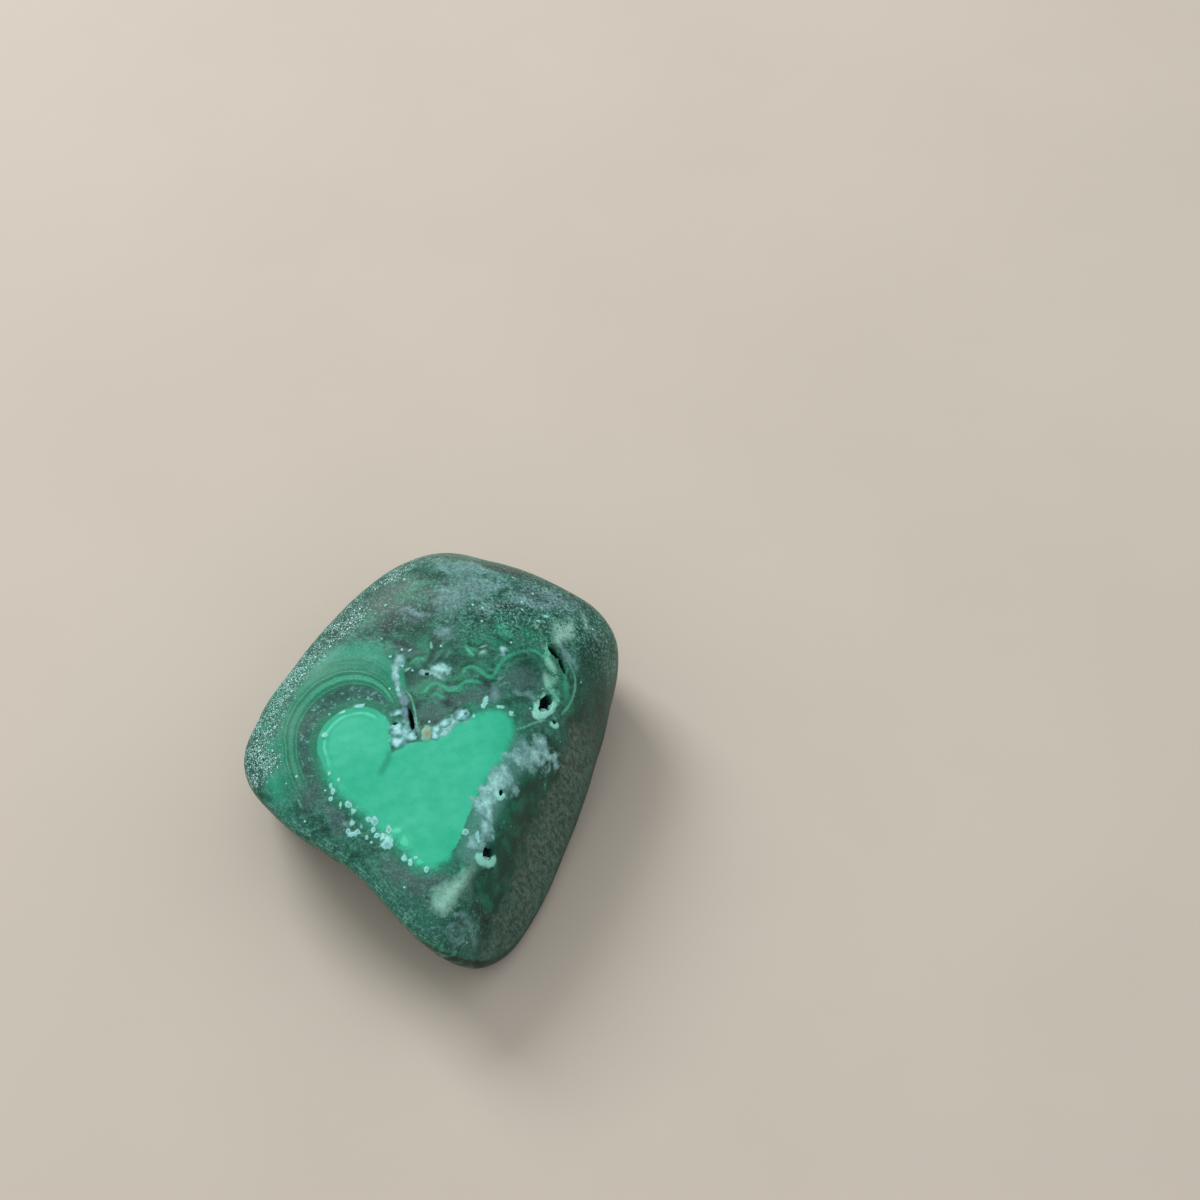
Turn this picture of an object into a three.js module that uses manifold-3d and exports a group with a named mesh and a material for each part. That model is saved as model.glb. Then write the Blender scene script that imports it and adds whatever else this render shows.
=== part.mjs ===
// A tumbled malachite stone, about 30 x 39 x 14 mm, lying on its flat underside.
//
// The stone is one solid. Its body is a worn block: a set of broad facets, each given by the
// way that it faces and its distance from the stone's middle, blended into each other as
// tumbling blends them. Little hollows and a slit open on the upper face, and small druse
// crystals and crust lumps stand in and beside them. They are all grown together with the
// body. Millimetres, +Z up, the origin under the middle of the stone on its foot.

import * as THREE from 'three';
import { mergeVertices } from 'three/addons/utils/BufferGeometryUtils.js';
import Module from 'manifold-3d';

const wasm = await Module();
wasm.setup();

// Driving dimensions
const MIDDLE = new THREE.Vector3(0.29, -0.68, 6.0);
const WEAR = 10;
const FOOT_REACH = MIDDLE.z + 0.3;
const BODY_DETAIL = 17;

// The ways that the body's facets face, in degrees, and their distances from the middle
const FACETS = [
  { name: 'pale face', azimuth: 222, elevation: 77, distance: 6.0 },
  { name: 'right shoulder', azimuth: -8, elevation: 68, distance: 8.6 },
  { name: 'far bevel', azimuth: 87, elevation: 56, distance: 14.5 },
  { name: 'far left bevel', azimuth: 146, elevation: 45, distance: 13.4 },
  { name: 'near tip bevel', azimuth: 281, elevation: 42, distance: 18.2 },
  { name: 'right bevel', azimuth: -38, elevation: 54, distance: 11.0 },
  { name: 'foot', azimuth: 0, elevation: -90, distance: FOOT_REACH },
  { name: 'left side', azimuth: 156, elevation: 5, distance: 14.8 },
  { name: 'far left side', azimuth: 137, elevation: 5, distance: 15.6 },
  { name: 'far edge', azimuth: 99, elevation: 17, distance: 23.0 },
  { name: 'far right side', azimuth: 60, elevation: 12, distance: 18.4 },
  { name: 'right side', azimuth: -14, elevation: 18, distance: 12.0 },
  { name: 'near right side', azimuth: -26, elevation: 18, distance: 10.45 },
  { name: 'near left side', azimuth: 223, elevation: -26.3, distance: 11.8 },
  { name: 'left corner', azimuth: 188, elevation: -5, distance: 16.8 },
  { name: 'right underside', azimuth: 0, elevation: -45, distance: 12.0 },
  { name: 'far underside', azimuth: 100, elevation: -45, distance: 16.5 },
  { name: 'near underside', azimuth: 263, elevation: -50, distance: 15.0 },
];

// Broad shallow hollows worn into the sides: depth at the middle, and spread in degrees
const HOLLOWS = [
  { name: 'near left hollow', azimuth: 249.2, elevation: -5.3, depth: 1.92, spread: 28.5 },
  { name: 'near right hollow', azimuth: -38, elevation: 5, depth: 0.5, spread: 26 },
];

// Pits in the upper face: place in plan, length along their turn, width, and depth
const PITS = [
  { name: 'cleft', x: -1.8, y: -0.2, turn: -79, length: 4.4, width: 1.0, depth: 1.3 },
  { name: 'cleft mouth', x: -1.6, y: -1.9, turn: -60, length: 2.6, width: 2.0, depth: 1.2 },
  { name: 'slit', x: 10.0, y: 5.4, turn: -58, length: 2.6, width: 0.6, depth: 1.1 },
  { name: 'round vug', x: 9.1, y: 1.1, turn: 70, length: 2.1, width: 1.4, depth: 1.3 },
  { name: 'side vug', x: 5.7, y: -7.4, turn: 80, length: 1.0, width: 0.6, depth: 0.6 },
  { name: 'near vug', x: 4.7, y: -12.2, turn: 20, length: 1.1, width: 1.0, depth: 0.8 },
  { name: 'crystal pit', x: 2.7, y: -0.8, turn: 0, length: 0.7, width: 0.6, depth: 0.6 },
];
const PIT_SEGMENTS = 14;
const PIT_RINGS = 8;

// Druse crystals: place in plan, radius, and how far their middle stands above the face
const CRYSTALS = [
  { x: -2.3, y: -2.2, radius: 0.8, lift: -0.25 },
  { x: -0.3, y: -2.2, radius: 0.45, lift: 0.05 },
  { x: 0.8, y: -2.0, radius: 0.5, lift: 0.05 },
  { x: 1.7, y: -1.5, radius: 0.35, lift: 0.05 },
  { x: 2.3, y: -0.3, radius: 0.45, lift: 0.0 },
  { x: 3.4, y: -0.6, radius: 0.4, lift: 0.05 },
  { x: 4.2, y: 0.2, radius: 0.35, lift: 0.05 },
  { x: 5.5, y: -0.1, radius: 0.35, lift: 0.05 },
  { x: 9.5, y: 0.5, radius: 0.5, lift: -0.45 },
];

// Crust lumps along the near left border of the pale patch
const CRUST_LUMPS = [
  { x: -8.4, y: -1.6, radius: 0.35 },
  { x: -7.6, y: -6.3, radius: 0.4 },
  { x: -6.3, y: -7.7, radius: 0.45 },
  { x: -5.8, y: -9.4, radius: 0.55 },
  { x: -4.4, y: -9.1, radius: 0.45 },
  { x: -3.7, y: -10.3, radius: 0.6 },
  { x: -3.0, y: -11.0, radius: 0.5 },
  { x: -1.8, y: -12.5, radius: 0.5 },
  { x: -0.1, y: -13.7, radius: 0.35 },
];
const CRUST_LIFT = -0.1;
const CRUST_FLATNESS = 0.7;

// The cutter that makes the foot a true plane
const CUTTER_SIZE = 60;

// Colours and finish
const MALACHITE_GREEN = 0x2f7d62;
const POLISH_ROUGHNESS = 0.45;

/** Unit vector for a facing given in degrees. */
function facing(azimuth, elevation) {
  const turn = THREE.MathUtils.degToRad(azimuth);
  const rise = THREE.MathUtils.degToRad(elevation);
  const level = Math.cos(rise);
  return new THREE.Vector3(level * Math.cos(turn), level * Math.sin(turn), Math.sin(rise));
}

const facets = FACETS.map((facet) => ({ ...facet, normal: facing(facet.azimuth, facet.elevation) }));
const hollows = HOLLOWS.map((hollow) => ({ ...hollow, normal: facing(hollow.azimuth, hollow.elevation) }));

/** Distance from the stone's middle to its skin, along a unit direction. */
function reach(direction) {
  let blend = 0;
  for (const facet of facets) {
    blend += Math.max(0, direction.dot(facet.normal) / facet.distance) ** WEAR;
  }
  let distance = blend ** (-1 / WEAR);
  for (const hollow of hollows) {
    const angle = THREE.MathUtils.radToDeg(direction.angleTo(hollow.normal));
    distance -= hollow.depth * Math.exp(-((angle / hollow.spread) ** 2));
  }
  return distance;
}

/** Point of the upper face above a place in plan, found by halving the interval. */
function onUpperFace(x, y) {
  let inside = MIDDLE.z;
  let outside = MIDDLE.z + FOOT_REACH * 2;
  for (let step = 0; step < 40; step += 1) {
    const z = (inside + outside) / 2;
    const arm = new THREE.Vector3(x, y, z).sub(MIDDLE);
    if (arm.length() < reach(arm.clone().normalize())) {
      inside = z;
    } else {
      outside = z;
    }
  }
  return new THREE.Vector3(x, y, inside);
}

/** Outward direction of the upper face above a place in plan, from three nearby points. */
function upperNormal(x, y) {
  const span = 0.2;
  const here = onUpperFace(x, y);
  const along = onUpperFace(x + span, y).sub(here);
  const across = onUpperFace(x, y + span).sub(here);
  return along.cross(across).normalize();
}

/** Closed solid of a three.js geometry. */
function solidOf(geometry) {
  const bare = geometry.clone();
  bare.deleteAttribute('normal');
  bare.deleteAttribute('uv');
  const merged = mergeVertices(bare);
  const mesh = new wasm.Mesh({
    numProp: 3,
    vertProperties: new Float32Array(merged.attributes.position.array),
    triVerts: new Uint32Array(merged.index.array),
  });
  return new wasm.Manifold(mesh);
}

/** three.js geometry of a solid, with flat faces. */
function geometryOf(solid) {
  const mesh = solid.getMesh();
  const geometry = new THREE.BufferGeometry();
  geometry.setAttribute('position', new THREE.BufferAttribute(mesh.vertProperties, mesh.numProp));
  geometry.setIndex(new THREE.BufferAttribute(mesh.triVerts, 1));
  geometry.computeVertexNormals();
  return geometry;
}

/** The worn block, before its foot is cut flat. */
function wornBody() {
  const geometry = new THREE.IcosahedronGeometry(1, BODY_DETAIL);
  const positions = geometry.attributes.position;
  const point = new THREE.Vector3();
  for (let index = 0; index < positions.count; index += 1) {
    point.fromBufferAttribute(positions, index).normalize();
    point.multiplyScalar(reach(point)).add(MIDDLE);
    positions.setXYZ(index, point.x, point.y, point.z);
  }
  return solidOf(geometry);
}

/** Box that takes off all that is below the foot's plane. */
function footCutter() {
  const box = new THREE.BoxGeometry(CUTTER_SIZE, CUTTER_SIZE, CUTTER_SIZE);
  box.translate(0, 0, -CUTTER_SIZE / 2);
  return solidOf(box);
}

/** Geometry turned about Z, laid square to the upper face and moved to its place there. */
function seated(geometry, x, y, turn, lift) {
  const normal = upperNormal(x, y);
  const spin = new THREE.Quaternion().setFromAxisAngle(
    new THREE.Vector3(0, 0, 1),
    THREE.MathUtils.degToRad(turn),
  );
  const tilt = new THREE.Quaternion().setFromUnitVectors(new THREE.Vector3(0, 0, 1), normal);
  geometry.applyQuaternion(spin);
  geometry.applyQuaternion(tilt);
  const place = onUpperFace(x, y).addScaledVector(normal, lift);
  geometry.translate(place.x, place.y, place.z);
  return geometry;
}

/** Rounded cutter of one pit. */
function pitCutter(pit) {
  const ball = new THREE.SphereGeometry(1, PIT_SEGMENTS, PIT_RINGS);
  ball.rotateX(Math.PI / 2);
  ball.scale(pit.length / 2, pit.width / 2, pit.depth);
  return solidOf(seated(ball, pit.x, pit.y, pit.turn, 0));
}

/** Flat-faced druse crystal, each turned a little further than the one before. */
function druseCrystal(crystal, index) {
  const gem = new THREE.DodecahedronGeometry(crystal.radius, 0);
  return solidOf(seated(gem, crystal.x, crystal.y, 37 * index, crystal.lift));
}

/** Low flat-faced lump of crust. */
function crustLump(lump, index) {
  const gem = new THREE.IcosahedronGeometry(lump.radius, 0);
  gem.scale(1, 1, CRUST_FLATNESS);
  return solidOf(seated(gem, lump.x, lump.y, 53 * index, CRUST_LIFT));
}

/** The whole stone: body, less foot and pits, with its crystals and crust grown on. */
function malachiteStone() {
  let stone = wornBody().subtract(footCutter());
  for (const pit of PITS) {
    stone = stone.subtract(pitCutter(pit));
  }
  for (const [index, crystal] of CRYSTALS.entries()) {
    stone = stone.add(druseCrystal(crystal, index));
  }
  for (const [index, lump] of CRUST_LUMPS.entries()) {
    stone = stone.add(crustLump(lump, index));
  }
  const material = new THREE.MeshStandardMaterial({
    color: MALACHITE_GREEN,
    roughness: POLISH_ROUGHNESS,
    metalness: 0,
  });
  const mesh = new THREE.Mesh(geometryOf(stone), material);
  mesh.name = 'malachite_stone';
  return mesh;
}

const specimen = new THREE.Group();
specimen.add(malachiteStone());

export default specimen;
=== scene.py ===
"""A tumbled malachite stone, lying on its flat foot.

The stone is a worn block: broad facets blended into each other, as tumbling blends them. Vugs, a
slit and a cleft open on its upper face, with druse and crust grown in and beside them. Lengths in
the classes are millimetres, a place is (x, y) in plan on the upper face, and meshes are in metres.
"""

from __future__ import annotations

import logging
import math
from collections.abc import Iterable, Sequence
from dataclasses import dataclass
from enum import Enum

import bmesh
import bpy
import numpy as np
from mathutils import Matrix, Vector


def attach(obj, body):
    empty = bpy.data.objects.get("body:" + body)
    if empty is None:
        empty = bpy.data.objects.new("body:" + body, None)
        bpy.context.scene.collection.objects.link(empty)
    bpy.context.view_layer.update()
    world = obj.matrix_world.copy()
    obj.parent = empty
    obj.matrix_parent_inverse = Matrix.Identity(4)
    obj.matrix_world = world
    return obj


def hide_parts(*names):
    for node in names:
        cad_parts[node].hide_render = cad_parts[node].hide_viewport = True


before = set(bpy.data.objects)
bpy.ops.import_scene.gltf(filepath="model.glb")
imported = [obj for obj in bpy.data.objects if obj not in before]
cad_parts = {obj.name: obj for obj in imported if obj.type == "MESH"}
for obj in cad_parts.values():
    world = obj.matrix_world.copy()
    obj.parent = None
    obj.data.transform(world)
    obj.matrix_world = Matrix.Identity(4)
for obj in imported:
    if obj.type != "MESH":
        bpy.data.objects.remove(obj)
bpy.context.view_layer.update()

LOG = logging.getLogger("malachite")
MM = 0.001
STONE_NODE = "malachite_stone"
BODY = "root"

Place = tuple[float, float]
Spot = tuple[float, float, float]
Tone = tuple[int, int, int]
Light = tuple[float, float, float, float]
Stops = tuple[tuple[float, Tone], ...]

FAR_OFF = 9.0
HALVINGS = 40
ROWS_AT_ONCE = 4000


# Numbers

def smoothstep(values: np.ndarray, low: float, high: float) -> np.ndarray:
    """Soft step of values from 0 at low to 1 at high; low may be the larger."""
    share = np.clip((values - low) / (high - low), 0.0, 1.0)
    return share * share * (3.0 - 2.0 * share)


def facing(azimuth: float, elevation: float) -> np.ndarray:
    """Unit vector for a facing given in degrees."""
    turn, rise = math.radians(azimuth), math.radians(elevation)
    return np.array([math.cos(rise) * math.cos(turn), math.cos(rise) * math.sin(turn), math.sin(rise)])


def swell(points: np.ndarray, wavelength: float, seed: int, waves: int = 9) -> np.ndarray:
    """Smooth irregular relief, mostly between -1 and 1, from plane waves that cross each other.

    Args:
        points: places in millimetres, one row each.
        wavelength: middle length of the waves, in millimetres.
        seed: which relief it is.
        waves: how many waves are added up.

    Returns:
        One height for each point.
    """
    dice = np.random.default_rng(seed)
    total = np.zeros(len(points))
    for _ in range(waves):
        way = dice.normal(size=3)
        way /= np.linalg.norm(way)
        length = wavelength * dice.uniform(0.6, 1.6)
        total += np.sin(points @ way * (2.0 * math.pi / length) + dice.uniform(0.0, 2.0 * math.pi))
    return total / math.sqrt(waves)


def rounded(points: Sequence[Place], closed: bool, steps: int = 8) -> np.ndarray:
    """Smooth curve through a few points in plan.

    Args:
        points: the points, in order.
        closed: whether the curve comes back to its first point.
        steps: pieces between two neighbouring points.

    Returns:
        The curve's points, one row each; a closed curve repeats its first point at the end.
    """
    knots = [np.array(point, float) for point in points]
    if closed:
        knots = [knots[-1], *knots, knots[0], knots[1]]
    else:
        knots = [2 * knots[0] - knots[1], *knots, 2 * knots[-1] - knots[-2]]
    curve = []
    for before, start, end, after in zip(knots, knots[1:], knots[2:], knots[3:]):
        for step in range(steps):
            t = step / steps
            curve.append(
                0.5 * (
                    2 * start
                    + (end - before) * t
                    + (2 * before - 5 * start + 4 * end - after) * t**2
                    + (3 * start - before - 3 * end + after) * t**3
                )
            )
    curve.append(knots[-2])
    return np.array(curve)


def gap_to_path(places: np.ndarray, path: np.ndarray) -> tuple[np.ndarray, np.ndarray]:
    """How far places lie from a path in plan, and how far along it their nearest point is.

    Args:
        places: places in plan, one row each.
        path: the path's points, one row each.

    Returns:
        The distance, positive on the path's left and negative on its right, and the way along it.
    """
    starts, legs = path[:-1], np.diff(path, axis=0)
    lengths = np.maximum(np.linalg.norm(legs, axis=1), 1e-9)
    reached = np.concatenate([[0.0], np.cumsum(lengths)])[:-1]
    gaps, ways = np.empty(len(places)), np.empty(len(places))
    for first in range(0, len(places), ROWS_AT_ONCE):
        arms = places[first:first + ROWS_AT_ONCE, None, :] - starts
        share = np.clip((arms * legs).sum(axis=2) / lengths**2, 0.0, 1.0)
        apart = np.linalg.norm(arms - share[:, :, None] * legs, axis=2)
        rows, best = np.arange(len(arms)), apart.argmin(axis=1)
        cross = legs[best, 0] * arms[rows, best, 1] - legs[best, 1] * arms[rows, best, 0]
        gaps[first:first + ROWS_AT_ONCE] = apart[rows, best] * np.where(cross < 0.0, -1.0, 1.0)
        ways[first:first + ROWS_AT_ONCE] = reached[best] + share[rows, best] * lengths[best]
    return gaps, ways


def inside_outline(places: np.ndarray, outline: np.ndarray) -> np.ndarray:
    """Which places lie inside a closed outline in plan.

    Args:
        places: places in plan, one row each.
        outline: the outline's points, the first one repeated at the end.

    Returns:
        True for each place inside.
    """
    inside = np.zeros(len(places), bool)
    x, y = places[:, 0], places[:, 1]
    for (ax, ay), (bx, by) in zip(outline, outline[1:]):
        if ay == by:
            continue
        crosses = (ay > y) != (by > y)
        inside ^= crosses & (x < (bx - ax) * (y - ay) / (by - ay) + ax)
    return inside


# The stone's form

@dataclass(frozen=True)
class Facet:
    """One broad worn face: the way it faces, in degrees, and its distance from the middle."""

    azimuth: float
    elevation: float
    distance: float


@dataclass(frozen=True)
class Hollow:
    """A broad shallow hollow worn into a side: its depth at the middle, and its spread in degrees."""

    azimuth: float
    elevation: float
    depth: float
    spread: float


@dataclass(frozen=True)
class WornBlock:
    """The stone's worn form, seen from its middle: how far its skin is in each direction."""

    middle: Spot = (0.29, -0.68, 6.0)
    wear: float = 10.0
    facets: tuple[Facet, ...] = (
        Facet(222, 77, 6.0),
        Facet(-8, 68, 8.6),
        Facet(87, 56, 14.5),
        Facet(146, 45, 13.4),
        Facet(281, 42, 18.2),
        Facet(-38, 54, 11.0),
        Facet(0, -90, 6.3),
        Facet(156, 5, 14.8),
        Facet(137, 5, 15.6),
        Facet(99, 17, 23.0),
        Facet(60, 12, 18.4),
        Facet(-14, 18, 12.0),
        Facet(-26, 18, 10.45),
        Facet(223, -26.3, 11.8),
        Facet(188, -5, 16.8),
        Facet(0, -45, 12.0),
        Facet(100, -45, 16.5),
        Facet(263, -50, 15.0),
    )
    hollows: tuple[Hollow, ...] = (Hollow(249.2, -5.3, 1.92, 28.5), Hollow(-38, 5, 0.5, 26))

    def reach(self, ways: np.ndarray) -> np.ndarray:
        """Distance from the middle to the skin.

        Args:
            ways: unit directions, one row each.

        Returns:
            The distance in each direction.
        """
        blend = np.zeros(len(ways))
        for facet in self.facets:
            lean = ways @ facing(facet.azimuth, facet.elevation)
            blend += np.maximum(0.0, lean / facet.distance) ** self.wear
        distance = blend ** (-1.0 / self.wear)
        for hollow in self.hollows:
            lean = np.clip(ways @ facing(hollow.azimuth, hollow.elevation), -1.0, 1.0)
            distance -= hollow.depth * np.exp(-((np.degrees(np.arccos(lean)) / hollow.spread) ** 2))
        return distance

    def skin(self, ways: np.ndarray) -> np.ndarray:
        """Points of the skin, flat at the foot.

        Args:
            ways: unit directions from the middle, one row each.

        Returns:
            One point for each direction.
        """
        points = np.array(self.middle) + ways * self.reach(ways)[:, None]
        points[:, 2] = np.maximum(points[:, 2], 0.0)
        return points

    def seat(self, x: float, y: float) -> np.ndarray:
        """Point of the upper face above a place in plan, found by halving the interval.

        Args:
            x: the place's x.
            y: the place's y.

        Returns:
            The point.
        """
        inside, outside = self.middle[2], 3.0 * self.middle[2]
        for _ in range(HALVINGS):
            height = (inside + outside) / 2.0
            arm = np.array([x, y, height]) - np.array(self.middle)
            length = np.linalg.norm(arm)
            if length < self.reach((arm / length)[None, :])[0]:
                inside = height
            else:
                outside = height
        return np.array([x, y, inside])

    def upper_normal(self, x: float, y: float, span: float = 0.2) -> np.ndarray:
        """Outward direction of the upper face above a place in plan.

        Args:
            x: the place's x.
            y: the place's y.
            span: how far off the two points beside it are.

        Returns:
            The unit direction.
        """
        here = self.seat(x, y)
        normal = np.cross(self.seat(x + span, y) - here, self.seat(x, y + span) - here)
        return normal / np.linalg.norm(normal)

    def axes(self, x: float, y: float, turn: float) -> Matrix:
        """Turn that lays +Z along the upper face's normal, after a turn about Z in degrees."""
        tilt = Vector((0, 0, 1)).rotation_difference(Vector(self.upper_normal(x, y)))
        return tilt.to_matrix() @ Matrix.Rotation(math.radians(turn), 3, "Z")


@dataclass(frozen=True)
class Pit:
    """A hollow in the upper face: place, size, and how its mouth is shaped.

    taper widens it towards one end, lip is the height of the pale rim around it, rim is how broad
    that rim is, lean is the way in plan, in degrees, on which it is broadest, and wrap is the
    share of it on the other side.
    """

    x: float
    y: float
    turn: float
    length: float
    width: float
    depth: float
    taper: float = 0.0
    lip: float = 0.0
    rim: float = 0.3
    lean: float = 0.0
    wrap: float = 0.2


PITS = (
    Pit(-1.5, -0.8, -80, 2.3, 0.42, 1.0, taper=0.3),
    Pit(-2.75, -1.05, 20, 0.42, 0.32, 0.5),
    Pit(9.65, 5.9, -45, 1.4, 0.62, 0.9),
    Pit(10.4, 4.95, -68, 1.7, 0.5, 0.9),
    Pit(9.1, 0.95, 62, 1.95, 1.0, 1.4, lip=0.06, rim=0.75, lean=-60, wrap=0.35),
    Pit(9.75, -0.3, 0, 0.38, 0.32, 0.35, lip=0.03, rim=0.5, lean=-70),
    Pit(-0.35, 3.1, 0, 0.42, 0.3, 0.4),
    Pit(2.82, -0.78, 0, 0.3, 0.28, 0.3),
    Pit(5.7, -7.4, 80, 0.62, 0.36, 0.5, lip=0.02, rim=0.4, lean=-90),
    Pit(4.7, -12.15, 20, 1.05, 0.95, 0.8, lip=0.07, rim=0.8, lean=-80, wrap=0.05),
)


@dataclass(frozen=True)
class Blotch:
    """An oval mark or lump on the upper face: place, size along and across its turn."""

    x: float
    y: float
    length: float
    width: float
    turn: float = 0.0
    height: float = 0.0

    def cover(self, places: np.ndarray) -> np.ndarray:
        """How well the oval covers places.

        Args:
            places: places in plan, one row each.

        Returns:
            1 at the middle of the oval, 0 at its edge, and less outside, down to -1.
        """
        turn = math.radians(self.turn)
        away = places - np.array([self.x, self.y])
        along = away @ np.array([math.cos(turn), math.sin(turn)]) / (self.length / 2.0)
        across = away @ np.array([-math.sin(turn), math.cos(turn)]) / (self.width / 2.0)
        return np.maximum(1.0 - np.hypot(along, across), -1.0)


class Mark(Enum):
    """Kinds of blotches on the upper face; the value is the name of their attribute."""

    CHALK = "chalk"
    LILAC = "lilac"
    STRAW = "straw"
    MINT = "mint"
    LEAF = "leaf"
    DEEP = "deep"
    PLUM = "plum"
    SLATE = "slate"
    TEAL = "teal"
    DUST = "dust"
    BROWN = "brown"
    INK = "ink"
    FROST = "bruise"


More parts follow.
